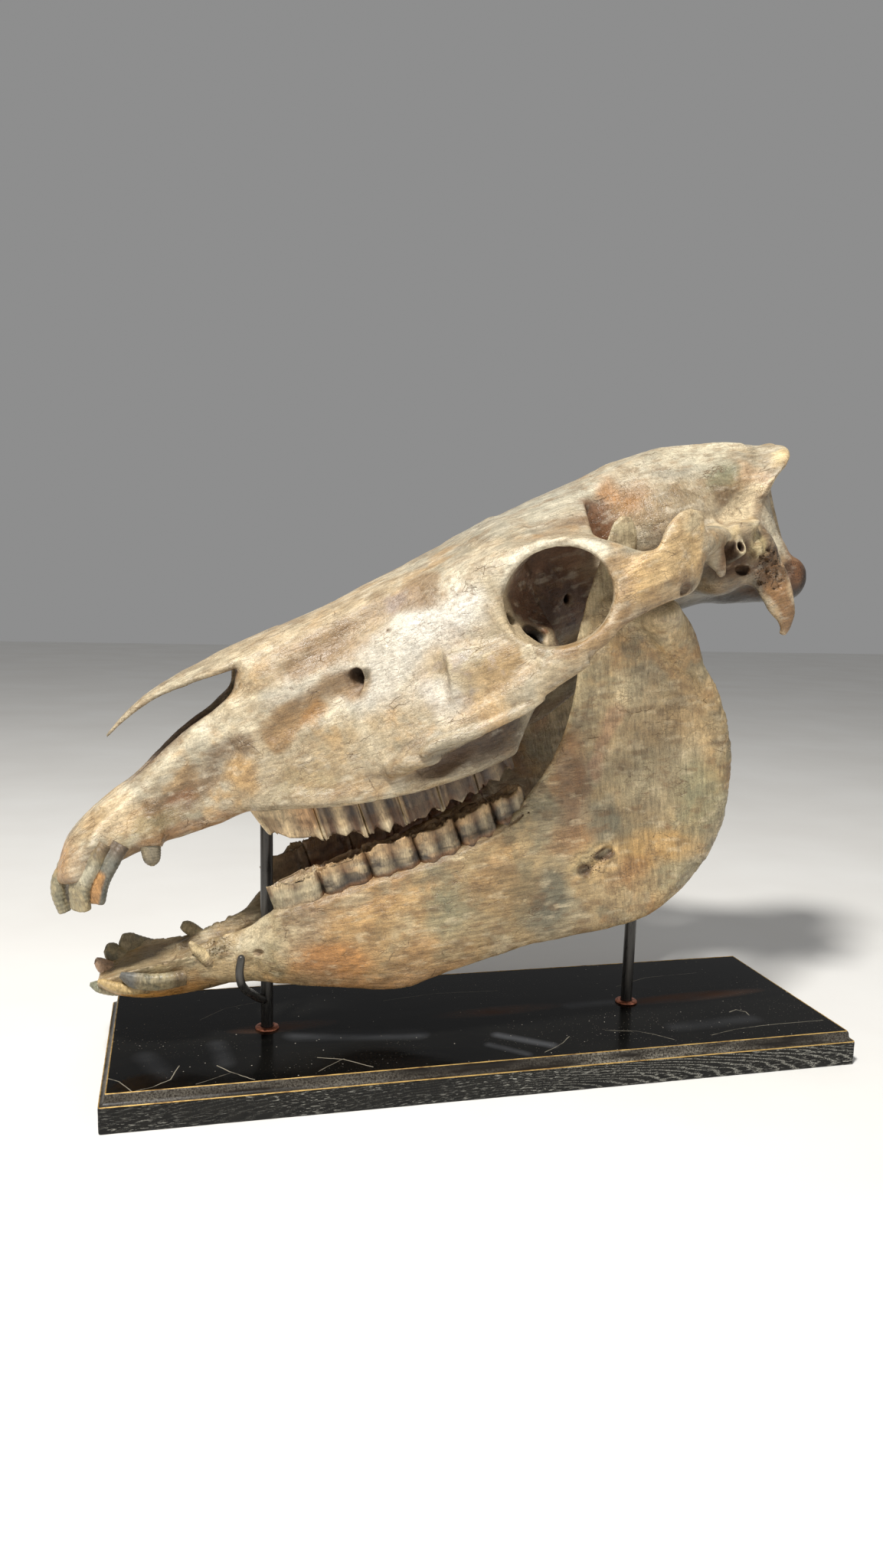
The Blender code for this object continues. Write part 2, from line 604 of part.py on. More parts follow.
def build_mandible():
    pit = bar("pit", [(336, -74, 46, 8, 7), (336, -50, 46, 6, 6)], steps=4)
    pit_low = bar("pit_low", [(322, -74, 35, 7, 6), (322, -50, 35, 5, 5)], steps=4)
    left = half_jaw()
    right = mirrored(left)
    carve(left, [pit, pit_low])
    form = [left, right, symphysis(), *both_sides(jaw_joint())]
    mandible = fuse("mandible", form, DETAIL_VOXEL, 4)
    detail = both_sides(lower_cheek_teeth() + lower_front_teeth())
    mandible = fuse("mandible", [mandible, *detail], DETAIL_VOXEL, 2)
    store([pit, pit_low])
    thin_out(mandible, MANDIBLE_TRIANGLES)
    return mandible


# ---- stand ------------------------------------------------------------------------------------------------
def stand_base():
    """A flat block with a hollow moulding between its side and its slightly smaller top."""
    profile = [(0.6, 0.0), (0.0, 0.6), (0.0, SLAB_HEIGHT - 0.5), (0.5, SLAB_HEIGHT), (1.4, SLAB_HEIGHT + 0.6),
               (2.6, SLAB_HEIGHT + 1.4), (3.2, SLAB_HEIGHT + 2.8), (3.4, BASE_HEIGHT - 1.6),
               (STEP_INSET - 0.4, BASE_HEIGHT - 0.4), (STEP_INSET, BASE_HEIGHT)]
    rings = []
    for inset, z in profile:
        half = np.array((BASE_LENGTH / 2 - inset, BASE_DEPTH / 2 - inset))
        corner = max(1.2 - inset * 0.2, 0.3)
        ring = []
        for quarter in range(4):
            turn = math.pi / 2 * quarter
            sign = np.array((1 if quarter in (0, 3) else -1, 1 if quarter < 2 else -1))
            for angle in (turn, turn + math.pi / 4, turn + math.pi / 2):
                ring.append(sign * (half - corner) + corner * np.array((math.cos(angle), math.sin(angle))))
        rings.append(np.c_[np.array(ring), np.full(len(ring), z)])
    return loft("stand_base", rings)


def rod(name, x, bottom, top, radius=ROD_RADIUS):
    bpy.ops.mesh.primitive_cylinder_add(vertices=24, radius=radius * MM, depth=(top - bottom) * MM)
    made = bpy.context.object
    made.name = name
    made.location = Vector((x, 0, (top + bottom) / 2)) * MM
    bpy.context.view_layer.update()
    return made


def hook():
    """The bent wire from the front rod, under the jaw's left half and up its outer side."""
    return bar("hook", [
        (-147.5, -1, 43.5, HOOK_RADIUS, HOOK_RADIUS), (-150, -5, 46, HOOK_RADIUS, HOOK_RADIUS),
        (-154, -12, 50.5, HOOK_RADIUS, HOOK_RADIUS), (-158, -22, 57, HOOK_RADIUS, HOOK_RADIUS),
        (-162, -31, 63, HOOK_RADIUS, HOOK_RADIUS), (-165.4, -36.8, 70.5, HOOK_RADIUS, HOOK_RADIUS),
        (-166.3, -38, 78, HOOK_RADIUS, HOOK_RADIUS), (-165, -37.5, 87.5, HOOK_RADIUS * 0.9, HOOK_RADIUS * 0.9)
    ], steps=26, around=12, up=(1, 0, 0.2))  # fmt: skip


def collar(name, x):
    """The ring round a rod where it enters the base."""
    z = BASE_HEIGHT + GAP
    inner = ROD_RADIUS + GAP
    profile = [(inner, z), (COLLAR_RADIUS, z), (COLLAR_RADIUS, z + COLLAR_HEIGHT * 0.6),
               (COLLAR_RADIUS - 0.7, z + COLLAR_HEIGHT), (inner + 0.5, z + COLLAR_HEIGHT),
               (inner, z + COLLAR_HEIGHT * 0.7)]
    mesh = bpy.data.meshes.new(name)
    count = len(profile)
    points = [(x * MM + r * MM, 0, h * MM) for r, h in profile]
    mesh.from_pydata(points, [(i, (i + 1) % count) for i in range(count)], [])
    made = bpy.data.objects.new(name, mesh)
    bpy.context.scene.collection.objects.link(made)
    axis = bpy.data.objects.new(f"{name}_axis", None)
    axis.location = (x * MM, 0, 0)
    bpy.context.scene.collection.objects.link(axis)
    spin = made.modifiers.new("spin", "SCREW")
    spin.object = axis
    spin.steps = spin.render_steps = 20
    spin.use_merge_vertices = True
    spin.merge_threshold = 0.0001
    spin.use_normal_calculate = True
    bpy.context.view_layer.update()
    bake_modifiers(made)
    outward(made)
    return made


def pose(obj, origin, pitch):
    """Carries a bone from its own frame to its place in the mount."""
    obj.location = Vector(origin) * MM
    obj.rotation_euler = (0.0, -math.radians(pitch), 0.0)
    bpy.context.view_layer.update()


def finish(obj, parts, surface):
    """Gives a piece its material and puts it in the collection of parts."""
    obj.data.materials.clear()
    obj.data.materials.append(material(*surface))
    for held in list(obj.users_collection):
        held.objects.unlink(obj)
    parts.objects.link(obj)


def main():
    clear_scene()
    parts, cutters = collection("horse_skull_on_stand"), collection("cutters")
    cranium, mandible = build_cranium(), build_mandible()
    pose(cranium, CRANIUM_ORIGIN, CRANIUM_PITCH)
    pose(mandible, MANDIBLE_ORIGIN, MANDIBLE_PITCH)
    sockets = [rod("front_socket", FRONT_ROD_X, 150, FRONT_ROD_TOP + GAP, ROD_RADIUS + GAP),
               rod("rear_socket", REAR_ROD_X, 260, REAR_ROD_TOP + GAP, ROD_RADIUS + GAP)]
    carve(cranium, sockets)
    front_rod = rod("front_rod", FRONT_ROD_X, BASE_HEIGHT + GAP, FRONT_ROD_TOP)
    wire = hook()
    weld = front_rod.modifiers.new("weld", "BOOLEAN")
    weld.operation = "UNION"
    weld.object = wire
    bake_modifiers(front_rod)
    rear_rod = rod("rear_rod", REAR_ROD_X, BASE_HEIGHT + GAP, REAR_ROD_TOP)
    collars = [collar("front_collar", FRONT_ROD_X), collar("rear_collar", REAR_ROD_X)]
    store(sockets + [wire])
    for bone in (cranium, mandible):
        finish(bone, parts, BONE)
    for metal in (front_rod, rear_rod):
        finish(metal, parts, STEEL)
    for ring in collars:
        finish(ring, parts, COPPER)
    finish(stand_base(), parts, LACQUER)
    for helper in [o for o in bpy.data.objects if o.hide_render]:
        for held in list(helper.users_collection):
            held.objects.unlink(helper)
        cutters.objects.link(helper)


main()
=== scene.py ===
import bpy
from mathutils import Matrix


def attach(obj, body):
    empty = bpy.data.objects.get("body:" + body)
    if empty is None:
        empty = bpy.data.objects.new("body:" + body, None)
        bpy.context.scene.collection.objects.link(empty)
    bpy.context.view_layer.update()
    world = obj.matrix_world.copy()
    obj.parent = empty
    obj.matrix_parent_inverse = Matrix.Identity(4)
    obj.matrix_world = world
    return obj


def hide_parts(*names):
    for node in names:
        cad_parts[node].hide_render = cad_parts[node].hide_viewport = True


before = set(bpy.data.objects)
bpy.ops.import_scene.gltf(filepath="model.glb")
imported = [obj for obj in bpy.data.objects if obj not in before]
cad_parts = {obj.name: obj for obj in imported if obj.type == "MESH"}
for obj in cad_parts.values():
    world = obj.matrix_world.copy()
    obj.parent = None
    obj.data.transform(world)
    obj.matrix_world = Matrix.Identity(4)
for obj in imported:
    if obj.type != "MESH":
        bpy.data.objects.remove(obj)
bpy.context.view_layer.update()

import math

import bpy
import numpy as np
import openvdb as vdb
from mathutils import Matrix, Vector

MM = 0.001

# Where each bone's own frame sits: a runs back from the front of the jaw, y to the animal's right, h up.
CRANIUM_ORIGIN, CRANIUM_PITCH = (-275.0, 0.0, 150.0), 19.2
MANDIBLE_ORIGIN, MANDIBLE_PITCH = (-262.0, 0.0, 60.0), 8.0
CRANIUM_FRAME, MANDIBLE_FRAME = (CRANIUM_ORIGIN, CRANIUM_PITCH), (MANDIBLE_ORIGIN, MANDIBLE_PITCH)
FRONT_ROD_X, REAR_ROD_X, ROD_RADIUS = -146.2, 114.7, 4.1
FRONT_ROD_TOP, REAR_ROD_TOP = 195.0, 312.0
UPPER_TOOTH_STARTS = (118, 156, 182, 206, 231, 256, 284)
LOWER_TOOTH_STARTS = (125, 157, 188, 219, 246, 270, 292)
STEP = 1.0


# ---- shape kit: every shape is (points in millimetres, triangles) -----------------------------------------
def line_through(knots):
    """A smooth line through rows of (parameter, value, ...), with no overshoot between them."""
    knots = np.array(knots, float)
    t, v = knots[:, 0], knots[:, 1:]
    step = np.diff(t)[:, None]
    slope = np.diff(v, axis=0) / step
    tangent = np.zeros_like(v)
    tangent[0], tangent[-1] = slope[0], slope[-1]
    if len(t) > 2:
        w1, w2 = 2 * step[1:] + step[:-1], step[1:] + 2 * step[:-1]
        same = slope[:-1] * slope[1:] > 0
        safe = np.where(same, slope[:-1], 1.0), np.where(same, slope[1:], 1.0)
        tangent[1:-1] = np.where(same, (w1 + w2) / (w1 / safe[0] + w2 / safe[1]), 0.0)

    def at(x):
        x = np.clip(np.atleast_1d(np.asarray(x, float)), t[0], t[-1])
        i = np.clip(np.searchsorted(t, x, side="right") - 1, 0, len(t) - 2)
        u = ((x - t[i]) / (t[i + 1] - t[i]))[:, None]
        h = (t[i + 1] - t[i])[:, None]
        return (
            (1 + 2 * u) * (1 - u) ** 2 * v[i]
            + u * (1 - u) ** 2 * h * tangent[i]
            + u * u * (3 - 2 * u) * v[i + 1]
            + u * u * (u - 1) * h * tangent[i + 1]
        )

    return at


def smooth_path(points, count):
    """`count` rows along a smooth curve through rows of points, evenly spread by chord length."""
    points = np.array(points, float)
    chord = np.r_[0, np.cumsum(np.linalg.norm(np.diff(points[:, :3], axis=0), axis=1))]
    return line_through(np.c_[chord, points])(np.linspace(0, chord[-1], count))


def superellipse(count, power=2.0):
    """Points of a unit superellipse, as rows of (across, up)."""
    angle = np.linspace(0, 2 * math.pi, count, endpoint=False)
    c, s = np.cos(angle), np.sin(angle)
    return np.c_[np.sign(c) * np.abs(c) ** (2 / power), np.sign(s) * np.abs(s) ** (2 / power)]


def outward(points, faces):
    """Turns the faces of a closed shape to point outwards."""
    return (points, faces[:, ::-1]) if np.linalg.det(points[faces]).sum() < 0 else (points, faces)


def ring_quads(count, around, closed=False):
    """The faces between `count` rings of `around` points; `closed` joins the last ring to the first."""
    i, j = np.arange(count if closed else count - 1)[:, None], np.arange(around)
    here, ahead, k = i * around, (i + 1) % count * around, (j + 1) % around
    return np.stack([here + j, here + k, ahead + k, ahead + j], -1).reshape(-1, 4)


def loft(rings):
    """A closed solid through a list of closed rings of equal length, with fanned ends."""
    rings = np.array(rings, float)
    count, around = rings.shape[:2]
    points = np.vstack([rings.reshape(-1, 3), rings[0].mean(0), rings[-1].mean(0)])
    quads = ring_quads(count, around)
    j, k = np.arange(around), (np.arange(around) + 1) % around
    top = (count - 1) * around
    first = np.full(around, count * around)
    faces = np.vstack([quads[:, [0, 1, 2]], quads[:, [0, 2, 3]], np.c_[k, j, first],
                       np.c_[top + j, top + k, first + 1]])
    return outward(points, faces)


def joined(shapes):
    """Several shapes as one."""
    starts = np.cumsum([0] + [len(points) for points, _ in shapes])
    return (np.vstack([points for points, _ in shapes]),
            np.vstack([faces + start for (_, faces), start in zip(shapes, starts)]))


def bar(stations, power=2.0, steps=40, around=28, up=(0, 0, 1)):
    """A bar swept through stations of (a, y, h, half width, half height); width lies across `up`."""
    rows = smooth_path(stations, steps)
    centre, size = rows[:, :3], rows[:, 3:5]
    along = np.gradient(centre, axis=0)
    along /= np.linalg.norm(along, axis=1)[:, None]
    across = np.cross(np.array(up, float), along)
    across /= np.linalg.norm(across, axis=1)[:, None]
    rise = np.cross(along, across)
    shape = superellipse(around, power)
    return loft([c + np.outer(shape[:, 0] * s[0], w) + np.outer(shape[:, 1] * s[1], r)
                 for c, s, w, r in zip(centre, size, across, rise)])


def cord(points, radius, steps=40, up=(0, 1, 0)):
    """A round bar through points of (a, y, h), of one radius."""
    return bar([(*p, radius, radius) for p in points], steps=steps, around=14, up=up)


def closed_curve(points, per_span):
    """A Catmull-Rom curve through a closed row of points."""
    before, after, beyond = np.roll(points, 1, 0), np.roll(points, -1, 0), np.roll(points, -2, 0)
    spans = [0.5 * (2 * points + (after - before) * u + (2 * before - 5 * points + 4 * after - beyond) * u**2
                    + (3 * points - before - 3 * after + beyond) * u**3)
             for u in np.arange(per_span) / per_span]
    return np.stack(spans, 1).reshape(-1, 2)


def hull_of_lines(lines, stations, per_span=5):
    """A body drawn like a ship's: half-section lines of (a, y, h) from the top midline to the bottom one."""
    fair = [line_through(line) for line in lines]
    rings = []
    for a in stations:
        half = np.array([f(a)[0] for f in fair])
        whole = np.vstack([half, half[-2:0:-1] * (-1, 1)])
        rings.append(np.c_[np.full(len(whole) * per_span, a), closed_curve(whole, per_span)])
    return loft(rings)


def turned(tilt):
    """The rotation for angles in degrees about the a, y and h axes, in that order."""
    x, y, z = np.radians(tilt)
    about_a = np.array([[1, 0, 0], [0, math.cos(x), -math.sin(x)], [0, math.sin(x), math.cos(x)]])
    about_y = np.array([[math.cos(y), 0, math.sin(y)], [0, 1, 0], [-math.sin(y), 0, math.cos(y)]])
    about_h = np.array([[math.cos(z), -math.sin(z), 0], [math.sin(z), math.cos(z), 0], [0, 0, 1]])
    return about_h @ about_y @ about_a


def ellipsoid(centre, radii, tilt=(0, 0, 0)):
    polar = np.linspace(0.02, math.pi - 0.02, 24)
    circle = superellipse(36)
    rings = [np.c_[circle * math.sin(p), np.full(36, math.cos(p))] for p in polar]
    points, faces = loft(rings)
    return (points * radii) @ turned(tilt).T + centre, faces


def plate(stations, steps=36, around=26):
    """A rounded plate through stations of one edge (a, y, h), the other edge (a, y, h), and thickness."""
    rows = smooth_path(np.array([(*s[0], *s[1], s[2]) for s in stations], float), steps)
    near, far, thick = rows[:, :3], rows[:, 3:6], rows[:, 6]
    along = np.gradient((near + far) / 2, axis=0)
    normal = np.cross(along, far - near)
    normal /= np.linalg.norm(normal, axis=1)[:, None]
    shape = superellipse(around, 3.0)
    return loft([(n + f) / 2 + np.outer(shape[:, 0], (f - n) / 2) + np.outer(shape[:, 1], m * t / 2)
                 for n, f, m, t in zip(near, far, normal, thick)])


def mirrored(shape):
    """A left shape's twin on the right, with its faces still outwards."""
    points, faces = shape
    return points * (1, -1, 1), faces[:, ::-1]


def both_sides(shapes):
    return list(shapes) + [mirrored(s) for s in shapes]


# ---- noise ------------------------------------------------------------------------------------------------
CHANCE = np.random.default_rng(20).uniform(-1, 1, 1 << 16).astype(np.float32)


def lattice_noise(p, seed):
    """Smooth noise in -1..1 at rows of points, one lump per unit."""
    cell = np.floor(p)
    f = (p - cell).astype(np.float32)
    f = f * f * f * (f * (f * 6 - 15) + 10)
    cell = cell.astype(np.int64)
    key = [[((cell[:, k] + o) * prime) & 0xFFFF for o in (0, 1)]
           for k, prime in enumerate((40503, 30011, 52711))]
    share = [(1 - f[:, k], f[:, k]) for k in range(3)]
    start = (seed * 7919 + 13) & 0xFFFF
    total = np.zeros(len(p), np.float32)
    for x in (0, 1):
        for y in (0, 1):
            flat, weight = key[0][x] ^ key[1][y] ^ start, share[0][x] * share[1][y]
            for z in (0, 1):
                mixed = (flat ^ key[2][z]) * 25173 + 13849
                total += weight * share[2][z] * CHANCE[(mixed ^ mixed >> 7) & 0xFFFF]
    return total


def noise(p, size, seed=0, octaves=4, roughness=0.55):
    """Layered noise of about -1..1, with lumps of `size` millimetres (one number, or one per axis)."""
    p = np.asarray(p, float) / np.array(size, float)
    total, strength, full = np.zeros(len(p), np.float32), 1.0, 0.0
    for octave in range(octaves):
        total += strength * lattice_noise(p * 2.03**octave + 17.3 * octave, seed + octave)
        full += strength
        strength *= roughness
    return total / full * 1.6


def smoothstep(low, high, x):
    t = np.clip((x - low) / (high - low), 0, 1)
    return t * t * (3 - 2 * t)


def near_line(p, points, radius, soft):
    """1 within `radius` of a line through points, falling to 0 over `soft` more."""
    points = np.array(points, float)
    best = np.full(len(p), 1e9)
    for s, e in zip(points, points[1:]):
        d = e - s
        t = np.clip((p - s) @ d / (d @ d), 0, 1)
        best = np.minimum(best, np.linalg.norm(p - s - t[:, None] * d, axis=1))
    return 1 - smoothstep(radius, radius + soft, best)


def near_ball(p, centre, radii, soft=0.5):
    """1 inside an ellipsoid, falling to 0 over `soft` of its size."""
    d = np.linalg.norm((p - centre) / np.array(radii, float), axis=1)
    return 1 - smoothstep(1 - soft / 2, 1 + soft / 2, d)


# ---- sculpting field --------------------------------------------------------------------------------------
def soft_min(a, b, blend):
    if blend <= 0:
        return np.minimum(a, b)
    h = np.maximum(blend - np.abs(a - b), 0) / blend
    return np.minimum(a, b) - h * h * blend * 0.25


class Field:
    """Distances to a growing solid on a grid, in millimetres, negative inside."""

    def __init__(self, low, high, step=STEP, reach=10.0):
        self.step, self.reach = step, reach
        self.first = np.floor(np.array(low) / step).astype(int)
        size = np.ceil(np.array(high) / step).astype(int) - self.first + 1
        self.d = np.full(tuple(size), reach, np.float32)

    def window(self, low, high, pad):
        a = np.floor((np.array(low) - pad) / self.step).astype(int) - self.first
        b = np.ceil((np.array(high) + pad) / self.step).astype(int) - self.first + 1
        a, b = np.maximum(a, 0), np.minimum(b, self.d.shape)
        return tuple(slice(int(x), int(y)) for x, y in zip(a, b))

    def distances(self, shape, pad):
        points, faces = shape
        place = self.window(points.min(0), points.max(0), pad)
        grid = vdb.FloatGrid.createLevelSetFromPolygons(
            np.ascontiguousarray(points, np.float32), triangles=np.ascontiguousarray(faces, np.uint32),
            transform=vdb.createLinearTransform(voxelSize=self.step), halfWidth=self.reach / self.step)
        out = np.empty([s.stop - s.start for s in place], np.float32)
        grid.copyToArray(out, ijk=tuple(int(s.start + f) for s, f in zip(place, self.first)))
        return place, out

    def add(self, shapes, blend=4.0):
        for shape in shapes if isinstance(shapes, list) else [shapes]:
            place, d = self.distances(shape, self.reach)
            self.d[place] = soft_min(self.d[place], d, blend)
        return self

    def cut(self, shapes, blend=1.5):
        for shape in shapes if isinstance(shapes, list) else [shapes]:
            place, d = self.distances(shape, self.reach)
            self.d[place] = -soft_min(-self.d[place], d, blend)
        return self

    def groove(self, path, radius, depth, blend=5.0, steps=40):
        """Presses a round channel into the surface along a path near it, on both sides."""
        return self.follow(path, radius, depth, blend, steps, -1)

    def ridge(self, path, radius, height, blend=4.0, steps=40):
        """Raises a round ridge along a path near the surface."""
        return self.follow(path, radius, height, blend, steps, 1)

    def follow(self, path, radius, amount, blend, steps, way):
        """A groove (way -1) or a ridge (way 1); each row of the path may end with its share of the amount."""
        path = np.array([(*row, 1.0)[:4] for row in path], float)
        path = smooth_path(path, steps)
        for side in (1, -1):
            p = path[:, :3] * (1, side, 1)
            for _ in range(4):
                out = self.slope(p)
                p = p - out * self.at(p)[:, None]
            out = self.slope(p)
            for axis in range(3):
                out[:, axis] = np.convolve(np.pad(out[:, axis], 3, "edge"), np.ones(7) / 7, "valid")
                p[:, axis] = np.convolve(np.pad(p[:, axis], 3, "edge"), np.ones(7) / 7, "valid")
            size = np.full(len(p), float(radius)) * np.clip(path[:, 3], 0.35, 1)
            rise = amount * path[:, 3]
            centre = p - way * out * (size - rise)[:, None]
            shape = bar(np.c_[centre, size, size], steps=steps, around=18, up=out.mean(0))
            (self.add if way > 0 else self.cut)(shape, blend)
        return self

    def slope(self, p):
        """Unit outward directions at points, from the distances around them."""
        g = np.stack([self.at(p + o) - self.at(p - o) for o in np.eye(3) * self.step], 1)
        return g / np.maximum(np.linalg.norm(g, axis=1), 1e-6)[:, None]

    def at(self, p):
        return sample(self.d, self.first, self.step, p, self.reach)

    def skin(self):
        """The surface as (points, quads), largest connected piece only."""
        grid = vdb.FloatGrid(self.reach)
        grid.copyFromArray(self.d, ijk=tuple(int(x) for x in self.first))
        grid.transform = vdb.createLinearTransform(voxelSize=self.step)
        points, quads = grid.convertToQuads(isovalue=0.0)
        points, quads = np.array(points, float), np.array(quads, np.int64)
        label = np.arange(len(points))
        while True:
            low = label[quads].min(1)
            new = label.copy()
            for corner in range(4):
                np.minimum.at(new, quads[:, corner], low)
            new = new[new]
            if (new == label).all():
                break
            label = new
        keep = label == np.bincount(label).argmax()
        order = np.cumsum(keep) - 1
        return points[keep], order[quads[keep[quads[:, 0]]]]


def sample(grid, first, step, p, outside):
    """Values of a grid at points, blended between cells."""
    q = np.asarray(p, float) / step - first
    i = np.floor(q).astype(int)
    size = np.array(grid.shape)
    good = ((i >= 0) & (i < size - 1)).all(1)
    out = np.full(len(q), outside, np.float32)
    i, f = i[good], (q[good] - i[good]).astype(np.float32)
    total = np.zeros(len(i), np.float32)
    for corner in range(8):
        o = np.array([corner & 1, corner >> 1 & 1, corner >> 2 & 1])
        c = i + o
        total += np.prod(np.where(o, f, 1 - f), axis=1) * grid[c[:, 0], c[:, 1], c[:, 2]]
    out[good] = total
    return out


def relax(points, quads, rounds, amount=0.5):
    """Moves each point towards the middle of its neighbours."""
    ends = np.vstack([quads[:, [0, 1]], quads[:, [1, 2]], quads[:, [2, 3]], quads[:, [3, 0]]])
    s, e = ends[:, 0], ends[:, 1]
    count = np.maximum(np.bincount(s, minlength=len(points)), 1)[:, None]
    for _ in range(rounds):
        middle = np.stack([np.bincount(s, points[e, k], len(points)) for k in range(3)], 1) / count
        points = points + (middle - points) * amount
    return points


def directions(points, faces):
    """Unit outward directions at the points of a mesh."""
    corner = points[faces]
    if faces.shape[1] == 4:
        n = np.cross(corner[:, 2] - corner[:, 0], corner[:, 3] - corner[:, 1])
    else:
        n = np.cross(corner[:, 1] - corner[:, 0], corner[:, 2] - corner[:, 0])
    total = np.zeros_like(points)
    for k in range(faces.shape[1]):
        for axis in range(3):
            total[:, axis] += np.bincount(faces[:, k], n[:, axis], len(points))
    return total / np.maximum(np.linalg.norm(total, axis=1), 1e-9)[:, None]


# ---- colour -----------------------------------------------------------------------------------------------
def srgb(r, g, b):
    """A colour given as it looks on screen, from 0 to 255, turned into light."""
    c = np.array((r, g, b), float) / 255
    return np.where(c < 0.04045, c / 12.92, ((c + 0.055) / 1.055) ** 2.4)


# colours as they look on screen
IVORY, GREY, LILAC, SLATE = (220, 209, 182), (168, 161, 142), (176, 163, 156), (108, 106, 90)
TAN, OCHRE, ORANGE = (183, 160, 124), (190, 150, 97), (168, 124, 76)
# HOLE_SHADE is painted shade: the near-black laid inside an opening
BROWN, UMBER, HOLE_SHADE = (104, 80, 56), (70, 50, 35), (38, 29, 22)


def left_side(p):
    """Points with those of the right side mirrored to the left."""
    return np.c_[p[:, 0], -np.abs(p[:, 1]), p[:, 2]]


class Coat:
    """The colours at the points of a surface, laid on in washes."""

    def __init__(self, p, base):
        self.p = p
        self.colour = np.tile(srgb(*base), (len(p), 1))
        wander = [noise(p, 24, 900 + k, 3) for k in range(3)]
        self.folded = left_side(p)
        self.loose = self.folded + np.stack(wander, 1) * 7.0

    def wash(self, colour, share):
        share = np.clip(share, 0, 1)[:, None]
        self.colour = self.colour * (1 - share) + srgb(*colour) * share

    def mottle(self, colour, size, seed, low, high, strength, where=1.0):
        """Soft patches of a colour, of about `size` millimetres."""
        self.wash(colour, smoothstep(low, high, noise(self.p, size, seed, 5)) * strength * where)

    def patch(self, colour, centre, radii, strength, soft=0.9):
        """A stain with a ragged outline round a point."""
        self.wash(colour, near_ball(self.loose, np.array(centre, float), radii, soft) * strength)

    def streak(self, colour, path, radius, soft, strength):
        self.wash(colour, near_line(self.loose, path, radius, soft) * strength)

    def stains(self, rows):
        """Patches (colour, centre, radii, strength) and streaks (colour, path, radius, soft, strength)."""
        for row in rows:
            (self.streak if isinstance(row[1], list) else self.patch)(*row)


COARSE_STEP, COARSE_REACH = 3.0, 45.0


def coarse_distances(points, quads):
    """Distances around a closed surface on a coarse grid."""
    grid = vdb.FloatGrid.createLevelSetFromPolygons(
        np.ascontiguousarray(points, np.float32), quads=np.ascontiguousarray(quads, np.uint32),
        transform=vdb.createLinearTransform(voxelSize=COARSE_STEP), halfWidth=COARSE_REACH / COARSE_STEP)
    first = np.floor((points.min(0) - COARSE_REACH) / COARSE_STEP).astype(int)
    size = np.ceil((points.max(0) + COARSE_REACH) / COARSE_STEP).astype(int) - first + 1
    out = np.empty(tuple(int(n) for n in size), np.float32)
    grid.copyToArray(out, ijk=tuple(int(x) for x in first))
    return first, out


